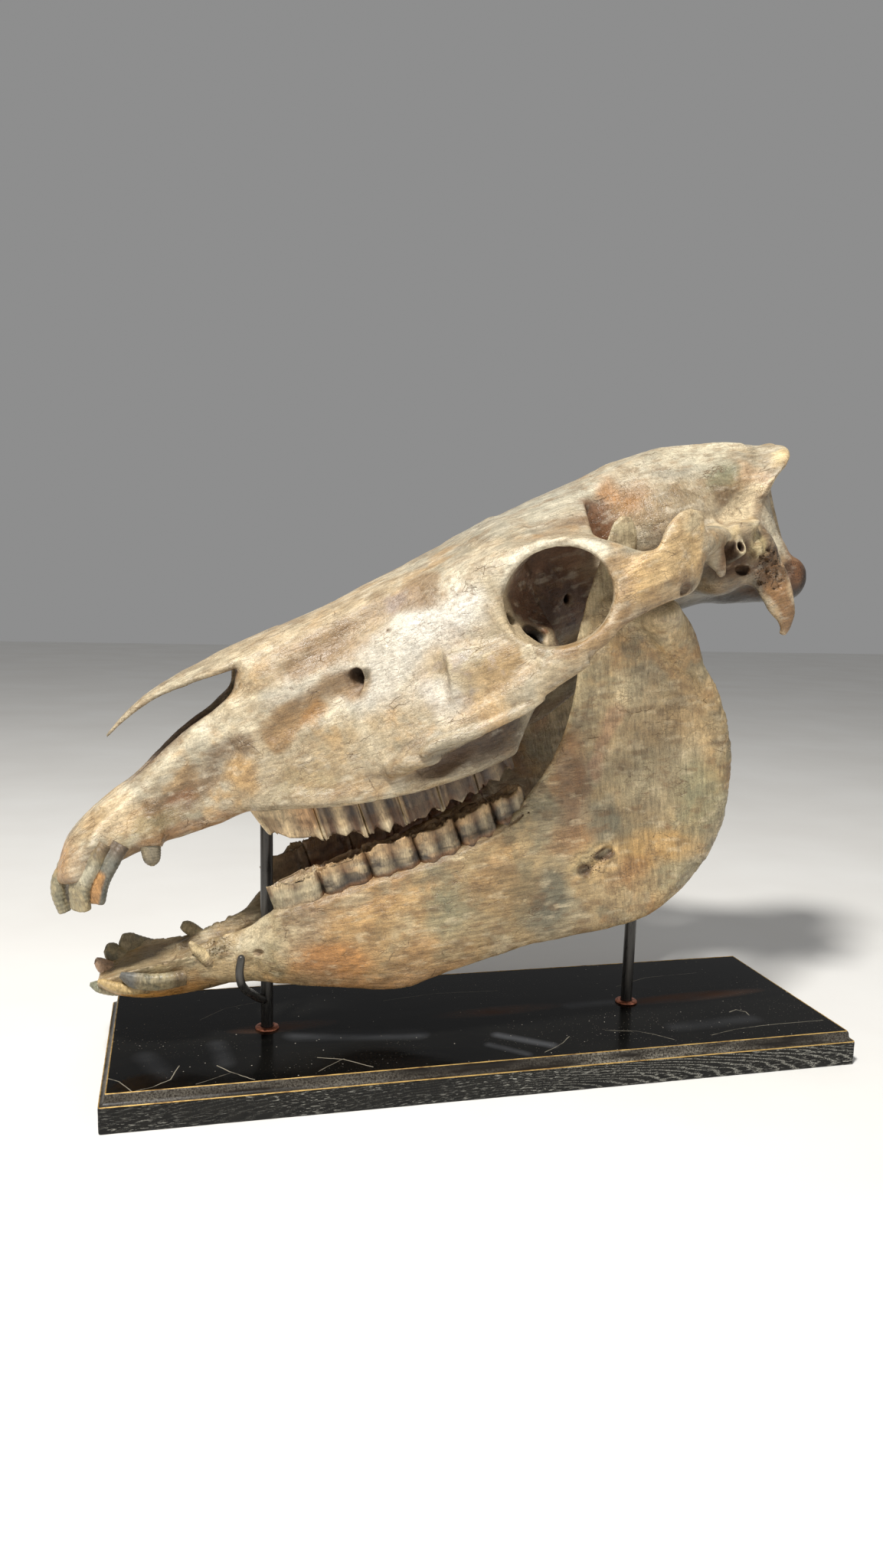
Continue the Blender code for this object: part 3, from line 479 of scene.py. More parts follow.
# ---- materials --------------------------------------------------------------------------------------------
class Shader:
    """Builds a material node by node."""

    def __init__(self, name, own_place=False):
        self.material = bpy.data.materials.new(name)
        self.material.use_nodes = True
        self.tree = self.material.node_tree
        self.surface = self.tree.nodes["Principled BSDF"]
        if own_place:
            self.mm = self.attribute("own_place", "Vector")
        else:
            place = self.node("ShaderNodeTexCoord").outputs["Object"]
            self.mm = self.scaled(place, 1 / MM)

    def node(self, kind, settings=None, **inputs):
        made = self.tree.nodes.new(kind)
        for key, value in (settings or {}).items():
            setattr(made, key, value)
        for key, value in inputs.items():
            socket = made.inputs[int(key[1:])] if key[0] == "i" and key[1:].isdigit() else made.inputs[
                key.replace("_", " ")]
            self.put(socket, value)
        return made

    def put(self, socket, value):
        if isinstance(value, bpy.types.NodeSocket):
            self.tree.links.new(value, socket)
        else:
            socket.default_value = value

    def set(self, **inputs):
        for key, value in inputs.items():
            self.put(self.surface.inputs[key.replace("_", " ")], value)

    def attribute(self, name, output="Fac"):
        return self.node("ShaderNodeAttribute", {"attribute_name": name}).outputs[output]

    def noise(self, size, detail=4.0, roughness=0.55, stretch=None, distortion=0.0, at=None):
        """Noise of about 0..1 with lumps of `size` millimetres; stretch lengthens them per axis."""
        at = at or self.mm
        if stretch:
            at = self.vector("DIVIDE", at, stretch)
        return self.node("ShaderNodeTexNoise", Vector=at, Scale=1.0 / size, Detail=detail,
                         Roughness=roughness, Distortion=distortion).outputs[0]

    def math(self, operation, a, b=0.0, c=0.0):
        return self.node("ShaderNodeMath", {"operation": operation}, i0=a, i1=b, i2=c).outputs[0]

    def times(self, a, b):
        return self.math("MULTIPLY", a, b)

    def rest(self, a):
        return self.math("SUBTRACT", 1.0, a)

    def vector(self, operation, a, b=(0.0, 0.0, 0.0)):
        made = self.node("ShaderNodeVectorMath", {"operation": operation}, i0=a, i1=b)
        return made.outputs[1 if operation in ("DOT_PRODUCT", "LENGTH") else 0]

    def ramp(self, value, low, high, start=0.0, end=1.0):
        """`value` mapped from low..high to start..end, held at the ends."""
        return self.node("ShaderNodeMapRange", Value=value, From_Min=low, From_Max=high, To_Min=start,
                         To_Max=end).outputs[0]

    def mix(self, share, a, b, kind="MIX"):
        made = self.node("ShaderNodeMix", {"data_type": "RGBA", "blend_type": kind})
        for socket, value in ((made.inputs[0], share), (made.inputs[6], a), (made.inputs[7], b)):
            if isinstance(value, tuple):
                value = (*srgb(*value), 1.0)
            self.put(socket, value)
        return made.outputs[2]

    def scaled(self, colour, factor):
        """A colour or a place, times a number."""
        made = self.node("ShaderNodeVectorMath", {"operation": "SCALE"}, Vector=colour, Scale=factor)
        return made.outputs[0]

    def cells(self, size, stretch=None, feature="DISTANCE_TO_EDGE", at=None):
        """Distances in a pattern of cells: to their edges, or with feature F1 to their middles."""
        at = at or self.mm
        if stretch:
            at = self.vector("DIVIDE", at, stretch)
        made = self.node("ShaderNodeTexVoronoi", {"feature": feature}, Vector=at, Scale=1.0 / size)
        return made.outputs["Distance"]

    def warped(self, size, amount):
        """The place in millimetres, pushed about by noise."""
        push = self.node("ShaderNodeTexNoise", Vector=self.mm, Scale=1.0 / size, Detail=3.0).outputs[1]
        away = self.vector("SUBTRACT", push, (0.5, 0.5, 0.5))
        return self.vector("ADD", self.mm, self.scaled(away, amount))

    def stroke(self, flat, points, half, soft):
        """1 along a line on the base's top, given in millimetres, and 0 further off."""
        nearest = None
        for (x, y), (to_x, to_y) in zip(points, points[1:]):
            dx, dy = to_x - x, to_y - y
            long = dx * dx + dy * dy
            off = self.vector("SUBTRACT", flat, (x, y, 0.0))
            share = self.vector("DOT_PRODUCT", off, (dx / long, dy / long, 0.0))
            foot = self.scaled((dx, dy, 0.0), self.ramp(share, 0.0, 1.0))
            gap = self.vector("LENGTH", self.vector("SUBTRACT", off, foot))
            nearest = gap if nearest is None else self.math("MINIMUM", nearest, gap)
        return self.ramp(nearest, half, half + soft, 1.0, 0.0)

    def bumps(self, layers):
        """Stacks heights, given as (height 0..1, its depth in millimetres)."""
        normal = None
        for height, depth in layers:
            inputs = {"Height": height, "Strength": 1.0, "Distance": depth * MM}
            if normal is not None:
                inputs["Normal"] = normal
            normal = self.node("ShaderNodeBump", **inputs).outputs[0]
        self.set(Normal=normal)


def bone_material():
    s = Shader("bone", own_place=True)
    tint = s.attribute("tint", "Color")
    turn, rough, open_grain = s.attribute("turn"), s.attribute("worn"), s.attribute("porous")
    along = s.noise(1.7, 5.0, 0.68, (8.0, 1.0, 1.0), 0.4)
    upright = s.noise(1.7, 5.0, 0.68, (1.0, 1.0, 8.0), 0.4)
    fibre = s.node("ShaderNodeMix", {"data_type": "FLOAT"}, i0=turn, i2=along, i3=upright).outputs[0]
    grain = s.noise(0.9, 4.0, 0.65)
    cloud = s.noise(7.0, 5.0, 0.6)
    loose = s.warped(6.0, 5.0)
    lines = s.times(s.ramp(s.cells(9.0, (2.4, 1.0, 1.0), at=loose), 0.0, 0.03, 1.0, 0.0),
                   s.ramp(s.noise(20.0, 4.0, 0.65), 0.54, 0.66))
    fine = s.times(s.ramp(s.cells(2.6, (2.6, 1.0, 1.0), at=loose), 0.0, 0.07, 1.0, 0.0),
                  s.ramp(s.noise(14.0, 3.0), 0.46, 0.66))
    pores = s.times(s.ramp(s.cells(1.5, feature="F1"), 0.12, 0.36, 1.0, 0.0),
                    s.ramp(open_grain, 0.1, 0.9))
    specks = s.times(s.ramp(s.noise(1.6, 2.0, 0.5), 0.66, 0.74),
                     s.ramp(s.noise(40.0, 3.0), 0.44, 0.62))
    colour = s.scaled(tint, s.ramp(cloud, 0.28, 0.72, 0.80, 1.16))
    colour = s.scaled(colour, s.ramp(fibre, 0.32, 0.68, 0.64, 1.28))
    colour = s.scaled(colour, s.ramp(grain, 0.32, 0.68, 0.76, 1.18))
    colour = s.mix(s.times(specks, 0.45), colour, UMBER)
    colour = s.mix(s.times(lines, 0.75), colour, BROWN)
    colour = s.mix(s.times(fine, 0.5), colour, BROWN)
    colour = s.mix(s.times(pores, 0.8), colour, UMBER)
    s.set(Base_Color=colour)
    gloss = s.math("ADD", s.ramp(cloud, 0.3, 0.7, 0.2, 0.38), s.times(rough, 0.36))
    s.set(Roughness=s.math("ADD", gloss, s.ramp(fibre, 0.3, 0.7, -0.05, 0.06)))
    s.bumps([(cloud, 0.8), (fibre, 0.55), (grain, 0.14), (s.rest(lines), 0.35),
             (s.rest(fine), 0.14), (s.rest(pores), 0.9)])
    return s.material


def tooth_material():
    s = Shader("tooth", own_place=True)
    tint = s.attribute("tint", "Color")
    worn = s.attribute("worn")
    upright = s.noise(0.8, 4.0, 0.6, (1.0, 1.0, 7.0), 0.2)
    cloud = s.noise(4.0, 5.0, 0.6)
    grain = s.noise(0.7, 3.0, 0.6)
    cracks = s.cells(2.6, (1.0, 1.0, 3.0), at=s.warped(3.0, 2.0))
    crackle = s.times(s.ramp(cracks, 0.0, 0.04, 1.0, 0.0), s.ramp(s.noise(9.0, 2.0), 0.4, 0.6))
    colour = s.scaled(tint, s.ramp(cloud, 0.3, 0.7, 0.62, 1.3))
    colour = s.scaled(colour, s.ramp(upright, 0.3, 0.7, 0.7, 1.25))
    colour = s.mix(s.times(crackle, 0.5), colour, UMBER)
    s.set(Base_Color=colour)
    s.set(Roughness=s.math("ADD", s.ramp(cloud, 0.3, 0.7, 0.2, 0.38), s.times(worn, 0.35)))
    s.bumps([(cloud, 0.4), (upright, 0.22), (grain, 0.08), (s.rest(crackle), 0.12)])
    return s.material


SCRATCHES = [
    # points on the base's top, and how plain the scratch is
    ([(-246, -57), (-239, -63), (-231, -77)], 0.7),
    ([(-204, -48), (-209, -66), (-219, -74), (-230, -78)], 0.8),
    ([(-181, -52), (-174, -62), (-160, -76)], 0.9),
    ([(-174, -64), (-183, -69), (-194, -75)], 0.35),
    ([(-119, -52), (-103, -58), (-87, -72)], 0.9),
    ([(-103, -57), (-113, -65), (-121, -72)], 0.4),
    ([(51, -51), (43, -60), (32, -68), (26, -72)], 0.5),
    ([(79, -46), (99, -51), (108, -57), (119, -69)], 0.5),
    ([(148, -67), (169, -61), (200, -58), (240, -58)], 0.5),
    ([(181, -32), (188, -29), (193, -34), (192, -40)], 0.8),
    ([(-60, 34), (-20, 41), (28, 38)], 0.4),
    ([(120, 30), (150, 44), (196, 47)], 0.4),
    ([(-190, 22), (-172, 40), (-150, 47)], 0.45),
]
SMUDGES = [
    # points, width and strength of the pale dusty smears
    ([(-128, -16), (-90, -22), (-50, -28)], 9.0, 0.8),
    ([(4, -40), (34, -62)], 5.0, 1.0),
    ([(-6, -54), (14, -72)], 4.0, 0.7),
    ([(70, 0), (112, 2)], 6.0, 0.9),
    ([(-225, -30), (-212, -60)], 8.0, 0.35),
    ([(-180, -20), (-176, -50)], 7.0, 0.35),
    ([(130, -50), (190, -46)], 8.0, 0.3),
]
# middle along the base, and half length, of the copper-brown haze
HAZES = [(FRONT_ROD_X, 34.0), (REAR_ROD_X + 40.0, 56.0), (REAR_ROD_X - 110.0, 44.0)]


def lacquer_top():
    """Black lacquer with dust, smears, hairline scratches, and copper-brown haze round the rods."""
    s = Shader("lacquer_top")
    haze = s.noise(34.0, 4.0, 0.55, (2.4, 1.0, 1.0), 0.6)
    dust = s.times(s.ramp(s.cells(6.5, feature="F1"), 0.035, 0.08, 1.0, 0.0),
                  s.ramp(s.noise(30.0, 2.0), 0.42, 0.58))
    motes = s.times(s.ramp(s.cells(2.3, feature="F1"), 0.06, 0.16, 1.0, 0.0),
                   s.ramp(s.noise(44.0, 3.0, 0.6, (2.0, 1.0, 1.0)), 0.46, 0.66))
    flat = s.vector("MULTIPLY", s.warped(9.0, 1.6), (1.0, 1.0, 0.0))
    scratch = 0.0
    for path, strength in SCRATCHES:
        scratch = s.math("MAXIMUM", scratch, s.times(s.stroke(flat, path, 0.12, 0.35), strength))
    scratch = s.times(scratch, s.ramp(s.noise(9.0, 3.0), 0.36, 0.5, 0.35, 1.0))
    smudge = 0.0
    for path, wide, strength in SMUDGES:
        smear = s.stroke(flat, path, wide * 0.2, wide)
        smudge = s.math("MAXIMUM", smudge, s.times(smear, strength))
    smudge = s.times(smudge, s.ramp(haze, 0.3, 0.6, 0.3, 1.0))
    split = s.node("ShaderNodeSeparateXYZ", Vector=s.mm).outputs
    rust = None
    for x, half in HAZES:
        dx = s.math("DIVIDE", s.math("SUBTRACT", split[0], x + 12.0), half)
        skew = s.times(s.math("SUBTRACT", split[0], x), -0.05)
        dy = s.math("DIVIDE", s.math("ADD", split[1], skew), 8.0)
        far = s.math("ADD", s.times(dx, dx), s.times(dy, dy))
        near = s.ramp(far, 0.1, 1.4, 1.0, 0.0)
        rust = near if rust is None else s.math("MAXIMUM", rust, near)
    rust = s.times(rust, s.ramp(haze, 0.34, 0.66, 0.25, 1.0))
    colour = s.mix(s.ramp(haze, 0.35, 0.75, 0.0, 0.5), (9, 9, 9), (28, 27, 24))
    colour = s.mix(s.times(rust, 0.6), colour, (112, 78, 58))
    colour = s.mix(s.times(smudge, 0.45), colour, (96, 98, 102))
    colour = s.mix(s.times(scratch, 0.8), colour, (176, 168, 150))
    colour = s.mix(s.times(motes, 0.4), colour, (168, 160, 146))
    colour = s.mix(s.times(dust, 0.8), colour, (205, 198, 184))
    s.set(Base_Color=colour)
    dull = s.times(s.math("MAXIMUM", rust, motes), 0.35)
    s.set(Roughness=s.math("ADD", s.ramp(haze, 0.35, 0.7, 0.07, 0.24), dull), IOR=1.15)
    s.bumps([(haze, 0.12), (dust, 0.12)])
    return s.material


def lacquer_edge():
    """The moulding: brown-black, rubbed through to grey and whitish along the hollow, with a painted
    highlight strip along part of its length.
    """
    s = Shader("lacquer_edge")
    rub = s.noise(16.0, 5.0, 0.6, (6.0, 1.0, 1.0))
    grit = s.noise(1.2, 4.0, 0.7)
    along = s.node("ShaderNodeSeparateXYZ", Vector=s.mm).outputs[0]
    # painted highlight: the whitish rub is strongest over one stretch of the moulding, as wear and as a
    # highlight strip
    painted_highlight_strip = s.times(s.ramp(along, 20.0, 60.0), s.ramp(along, 190.0, 150.0))
    wear_and_highlight_reach = s.math("MAXIMUM", painted_highlight_strip, 0.35)
    worn = s.times(s.times(s.ramp(rub, 0.42, 0.6), s.ramp(grit, 0.42, 0.58)), wear_and_highlight_reach)
    colour = s.mix(s.ramp(rub, 0.3, 0.6), (18, 15, 12), (44, 38, 32))
    colour = s.mix(s.times(worn, 0.7), colour, (172, 166, 152))
    s.set(Base_Color=colour)
    s.set(Roughness=s.ramp(rub, 0.3, 0.7, 0.2, 0.5), IOR=1.3)
    s.bumps([(rub, 0.2), (grit, 0.12)])
    return s.material


def grained_side():
    """The block's sides: black over open-grained wood, with whitish pores and a cathedral figure."""
    s = Shader("grained_side")
    pores = s.ramp(s.noise(0.8, 3.0, 0.6, (6.5, 1.0, 1.0), 0.1), 0.57, 0.63)
    patchy = s.ramp(s.noise(22.0, 3.0, 0.5, (2.0, 1.0, 1.0)), 0.35, 0.62)
    pores = s.times(pores, patchy)
    ring = s.node("ShaderNodeTexWave", {"wave_type": "RINGS", "rings_direction": "Y"},
                  Vector=s.vector("MULTIPLY", s.mm, (0.1, 1.0, 1.0)), Scale=0.22, Distortion=5.0,
                  Detail=3.0, Detail_Scale=1.2).outputs["Fac"]
    split = s.node("ShaderNodeSeparateXYZ", Vector=s.mm).outputs
    figure = s.times(s.ramp(ring, 0.72, 0.95), s.ramp(split[0], -20.0, 120.0, 0.1, 0.8))
    figure = s.times(figure, s.ramp(s.noise(0.8, 2.0), 0.42, 0.56))
    white = s.math("MAXIMUM", pores, figure)
    colour = s.mix(s.ramp(s.noise(9.0, 4.0), 0.3, 0.7), (9, 9, 9), (24, 23, 21))
    colour = s.mix(s.times(white, 0.75), colour, (176, 174, 164))
    s.set(Base_Color=colour)
    s.set(Roughness=s.ramp(white, 0.0, 1.0, 0.3, 0.75), IOR=1.3)
    s.bumps([(s.noise(5.0, 4.0, 0.6, (5.0, 1.0, 1.0)), 0.35), (s.rest(pores), 0.3)])
    return s.material


def gold_line():
    s = Shader("gold_line")
    wear = s.noise(3.0, 4.0, 0.7, (3.0, 1.0, 1.0))
    s.set(Base_Color=s.mix(s.ramp(wear, 0.44, 0.7), (214, 178, 108), (120, 86, 44)))
    s.set(Roughness=s.ramp(wear, 0.3, 0.7, 0.32, 0.6), Metallic=0.55)
    s.bumps([(wear, 0.08)])
    return s.material


def black_steel():
    s = Shader("black_steel")
    smear = s.noise(3.0, 5.0, 0.6, (1.0, 1.0, 9.0))
    nick = s.ramp(s.noise(1.5, 3.0, 0.7), 0.70, 0.76)
    colour = s.mix(s.ramp(smear, 0.3, 0.7), (48, 47, 46), (80, 77, 73))
    s.set(Base_Color=s.mix(s.times(nick, 0.4), colour, (120, 110, 98)))
    s.set(Roughness=s.ramp(smear, 0.3, 0.7, 0.22, 0.38), Metallic=0.35)
    s.bumps([(smear, 0.02), (nick, 0.03)])
    return s.material


def copper():
    s = Shader("copper")
    tarnish = s.noise(2.4, 5.0, 0.65)
    s.set(Base_Color=s.mix(s.ramp(tarnish, 0.4, 0.68), (214, 138, 108), (110, 66, 46)))
    s.set(Roughness=s.ramp(tarnish, 0.3, 0.7, 0.24, 0.55), Metallic=0.9)
    s.bumps([(tarnish, 0.1)])
    return s.material


def floor_material():
    s = Shader("floor")
    shade = s.noise(260.0, 4.0)
    s.set(Base_Color=s.mix(s.ramp(shade, 0.3, 0.7), (232, 230, 226), (238, 237, 234)))
    s.set(Roughness=s.ramp(shade, 0.3, 0.7, 0.7, 0.85))
    s.bumps([(s.noise(2.0, 3.0), 0.03)])
    return s.material


# ---- cranium: the main masses -----------------------------------------------------------------------------
SNOUT = [
    [(-3, 0, -8), (3, 0, 0), (9, 0, 7), (20, 0, 13.5), (36, 0, 20.5), (59, 0, 27), (98, 0, 38), (132, 0, 44),
     (150, 0, 40)],
    [(-3, 12, -9), (3, 14, -1), (9, 15, 5.5), (20, 14, 12.5), (36, 12, 20), (59, 13, 28), (80, 15, 38),
     (98, 18, 46), (118, 22, 53), (132, 27, 58), (150, 23, 52)],
    [(-3, 21, -12), (3, 28, -8), (9, 31, -5), (20, 31, -1), (36, 28, 3), (59, 23.5, 6), (80, 22.5, 10),
     (98, 24.5, 13), (118, 31, 16), (132, 34.5, 18), (150, 26, 20)],
    [(-3, 18, -16), (4, 26, -17), (10, 29, -17), (20, 28, -17), (36, 24, -14.5), (59, 20, -13),
     (80, 19, -14), (98, 22, -13.5), (118, 28.5, -11), (132, 36, -11.5), (150, 31, -4)],
    [(-3, 0, -15), (10, 0, -14), (36, 0, -10), (59, 0, -9), (98, 0, -9), (132, 0, -7), (150, 0, 0)],
]
FACE = [
    [(128, 0, 50), (136, 0, 66), (146, 0, 82), (164, 0, 87), (206, 0, 91.5), (249, 0, 98), (283, 0, 102.5),
     (305, 0, 106.5), (330, 0, 111)],
    [(128, 12, 49), (136, 19, 64), (146, 22, 79), (200, 30, 85), (250, 42, 90), (290, 56, 95), (330, 60, 97)],
    [(128, 22, 45), (138, 29, 56), (150, 35, 65), (200, 46, 66), (250, 62, 70), (290, 78, 76), (330, 62, 72)],
    [(128, 25, 32), (138, 33, 35), (152, 39, 38), (200, 54, 37), (250, 71, 38), (290, 84, 42), (330, 60, 45)],
    [(128, 27, 9), (138, 36, 9), (152, 44, 8), (190, 58, 0), (212, 70, -5), (232, 78, -3), (250, 81, 1),
     (290, 88, 12), (330, 60, 20)],
    [(128, 28, -1), (138, 38, -4), (152, 47, -7), (190, 58.5, -13), (215, 64, -14), (250, 64, -12),
     (290, 58, -3), (330, 44, 10)],
    [(128, 28, -7), (138, 39, -11), (152, 48.5, -15.5), (190, 57.5, -23), (225, 60.5, -28), (250, 60.5, -29),
     (283, 57, -27), (300, 47, -16), (330, 34, 6)],
    [(128, 18, -8), (150, 24, -14), (190, 31, -21), (225, 33, -25), (283, 31, -25), (300, 28, -17),
     (330, 24, 2)],
    [(128, 0, -4), (150, 0, -8), (200, 0, -13), (250, 0, -14), (300, 0, -6), (330, 0, 4)],
]
BRAINCASE = [
    [(270, 0, 98), (320, 0, 109), (363, 0, 115.5), (397, 0, 118.5), (421, 0, 122), (443, 0, 122),
     (466, 0, 118.5), (487, 0, 114), (505, 0, 110), (520, 0, 104)],
    [(270, 34, 91), (320, 40, 101), (363, 38, 105), (400, 29, 110), (440, 27, 109), (470, 26, 104),
     (495, 27, 98), (508, 24, 91), (520, 16, 84)],
    [(270, 44, 60), (320, 43, 64), (363, 37, 70), (400, 45, 73), (435, 52, 72), (465, 50, 66),
     (485, 44, 62), (500, 37, 58), (509, 29, 54), (515, 18, 52)],
    [(270, 30, 12), (320, 30, 16), (363, 25, 30), (400, 30, 36), (435, 37, 33), (465, 37, 28),
     (485, 33, 26), (502, 28, 24), (513, 24, 26), (520, 15, 30)],
    [(270, 0, 2), (320, 0, 8), (363, 0, 15), (400, 0, 18), (435, 0, 18), (470, 0, 13), (500, 0, 8),
     (520, 0, 18)],
]


def nasal_roof():
    """The two nasal bones: a thin arched roof that runs out to a free spine over the nose."""
    stations = line_through([
        # a, half width, top, droop of the edge, thickness
        (53, 1.6, 59.0, 0.3, 2.4), (65, 4.6, 66.3, 1.2, 3.2), (87, 10.0, 75.6, 3.0, 3.8),
        (108, 16.0, 80.8, 5.5, 4.0), (123, 21.0, 83.6, 7.5, 4.6), (137, 25.0, 86.2, 9.0, 5.6),
        (175, 29.0, 88.5, 8.0, 8.0),
    ])
    rings = []
    for a in np.linspace(53, 175, 80):
        half, top, droop, thick = stations(a)[0]
        y = np.linspace(-1, 1, 25)
        upper = top - droop * y**2 - 0.9 * np.exp(-((y * half / 1.4) ** 2)) * min(1, (a - 53) / 30)
        ring = np.r_[np.c_[y * half, upper], np.c_[y * half * 0.92, upper - thick * (1 - 0.35 * y**4)][::-1]]
        rings.append(np.c_[np.full(len(ring), a), ring])
    return loft(rings)


def nasal_cavity():
    return bar([
        (40, 0, 27, 1.5, 4), (59, 0, 31, 6.5, 12), (80, 0, 40, 10.5, 24), (98, 0, 45, 13.5, 32),
        (118, 0, 45, 17.5, 33), (136, 0, 43, 22.5, 33.5), (165, 0, 43, 25, 34), (205, 0, 41, 21, 28),
        (240, 0, 38, 6, 8),
    ], power=2.6)


def orbit_rim():
    """The slightly raised ring round the eye socket, most lateral behind and below."""
    angle = np.linspace(0, 2 * math.pi, 13)
    knots = np.c_[326 + 34.0 * np.cos(angle),
                  -92.0 - 10.5 * np.cos(angle) + 8 * np.sin(angle),
                  59.5 + 31.0 * np.sin(angle)]
    size = np.c_[np.full(13, 1.5), 2.1 + 0.8 * np.cos(angle)]
    return bar(np.c_[knots, size], steps=70, around=18, up=(0, 1, 0))


def eye_socket(side):
    return bar([(320, side * 116, 60, 32.5, 28.5), (327, side * 92, 60, 32, 28.5),
                (338, side * 70, 63, 27, 24.5), (350, side * 48, 64, 18, 16)])


def frontal_wing():
    """The frontal bone's process over the eye, from the forehead out, back and down to the arch."""
    return plate([
        ((300, -24, 99), (390, -25, 105), 12), ((300, -45, 95), (377, -43, 103), 10),
        ((302, -62, 91), (370, -60, 93), 9), ((312, -78, 90), (365, -75, 84.5), 7.5),
        ((331, -91, 90), (368, -90, 78), 7), ((350, -97, 78), (379, -99, 70), 7.5),
        ((359, -100, 62), (391, -104, 60), 8.5), ((359, -101, 50), (392, -105, 50), 9),
    ], steps=60)


def zygomatic_arch():
    front = bar([
        (206, -62, -8, 6, 5), (226, -71, -5, 8, 6), (250, -76, 1, 9, 8), (285, -86, 11, 9, 10),
        (310, -94, 20, 8, 9), (330, -99, 25, 7, 8),
    ], power=2.4)
    rear = plate([
        ((306, -93, 12), (306, -92, 30), 12), ((320, -97, 17), (320, -95, 33), 11),
        ((341, -102, 25), (341, -100, 37), 10), ((360, -105, 34.5), (357, -102, 50), 10),
        ((377, -105, 37), (374, -104, 66), 9), ((392, -103, 37.5), (389, -104, 70), 8.5),
        ((403, -99, 37), (399, -103, 80), 8), ((411, -95, 40), (412, -100, 85), 7.5),
        ((417, -91, 47), (425, -94, 81), 7),
    ], steps=70)
    root = bar([
        (412, -93, 62, 8, 9), (422, -86, 62, 10, 9), (432, -72, 60, 13, 9), (446, -48, 58, 16, 10),
    ], power=2.2)
    return [front, rear, root]


def occipital_pieces():
    crest = bar([
        (534, 0, 96, 5, 3.6), (533, -12, 95, 5, 3.6), (523, -27, 90, 6, 3.2), (510, -37, 83, 6.5, 3),
        (500, -43, 75, 6, 3), (491, -48, 66, 5, 3), (480, -52, 59, 5, 3), (462, -58, 57, 5, 3),
        (444, -68, 60, 5, 3),
    ], steps=60)
    web = plate([
        ((478, -40, 76), (503, -40, 75), 9), ((486, -33, 88), (516, -33, 84), 10),
        ((490, -20, 97), (530, -20, 92), 11), ((490, 0, 101), (534, 0, 96), 13),
        ((490, 20, 97), (530, 20, 92), 11), ((486, 33, 88), (516, 33, 84), 10),
        ((478, 40, 76), (503, 40, 75), 9),
    ])
    condyle = ellipsoid((508, -25, 15), (16, 12.5, 15.5), (0, 18, 0))
    neck = ellipsoid((498, -24, 32), (15, 12, 15), (0, -24, 0))
    process = bar([
        (484, -42, 34, 5, 13), (487, -46, 20, 4.2, 12.5), (489, -47.5, 5, 3.6, 10.5),
        (491, -47, -6, 3.0, 7.5), (490, -45.5, -13, 2.6, 4.4), (487.5, -44, -18, 2.2, 2.4),
    ], up=(1, 0, 0.2), steps=50)
    broken_short = bar([(484, 42, 34, 6, 14), (487, 46, 20, 5, 12), (488, 46, 12, 3.5, 8)], up=(1, 0, 0.2),
                       steps=16)
    return [crest, condyle, neck], [web, process, broken_short]


def temporal_pieces():
    """What lies round the ear: the mastoid, the bulla, the ear's short tube and the jaw joint's knobs."""
    soft = [ellipsoid((480, -45, 40), (14, 11, 17), (0, 20, 0)), ellipsoid((456, -38, 31), (16, 13, 11)),
            ellipsoid((467, -52, 56), (13, 9, 9))]
    crisp = [bar([(456, -46, 44, 5.2, 6.4), (461, -66, 49.5, 4.0, 5.2)], steps=8),
             ellipsoid((405, -82, 49), (11, 17, 6.5), (0, 0, -8)),
             bar([(432, -76, 61, 6, 9), (438, -73, 50, 4.2, 6.8), (441, -71, 40, 2.8, 4),
                  (441, -70, 36, 2, 2.6)], up=(1, 0, 0)),
             ellipsoid((471, -55, 50), (3.5, 5, 8), (0, -30, 0)),
             ellipsoid((477, -56, 44), (3, 4, 7), (0, 15, 0))]
    return soft, crisp


def base_pieces():
    """The bones of the skull's underside, along the midline and beside the throat."""
    spine = bar([(340, 0, 14, 12, 8), (400, 0, 20, 13, 8), (450, 0, 22, 15, 8), (480, 0, 14, 18, 8),
                 (505, 0, 8, 20, 9)])
    pterygoid = bar([(286, -21, -12, 4, 14), (318, -20, -4, 3, 17), (350, -18, 4, 3, 15),
                     (378, -16, 12, 3, 9)])
    return [spine, pterygoid, mirrored(pterygoid)]


def upper_canine_root():
    return bar([(62, -20, 6, 7, 8), (58, -22, -6, 7, 8), (56, -24, -12.5, 6, 7)], steps=12, up=(1, 0, 0))


def rod_socket(x, low, top, radius):
    """The hole for a rod, in the cranium's own frame."""
    t = math.radians(CRANIUM_PITCH)
    ends = []
    for z in (low, top):
        dx, dz = x - CRANIUM_ORIGIN[0], z - CRANIUM_ORIGIN[2]
        ends.append((dx * math.cos(t) + dz * math.sin(t), 0.0, -dx * math.sin(t) + dz * math.cos(t)))
    return bar([(*e, radius, radius) for e in ends], steps=2, around=24, up=(0, 1, 0))


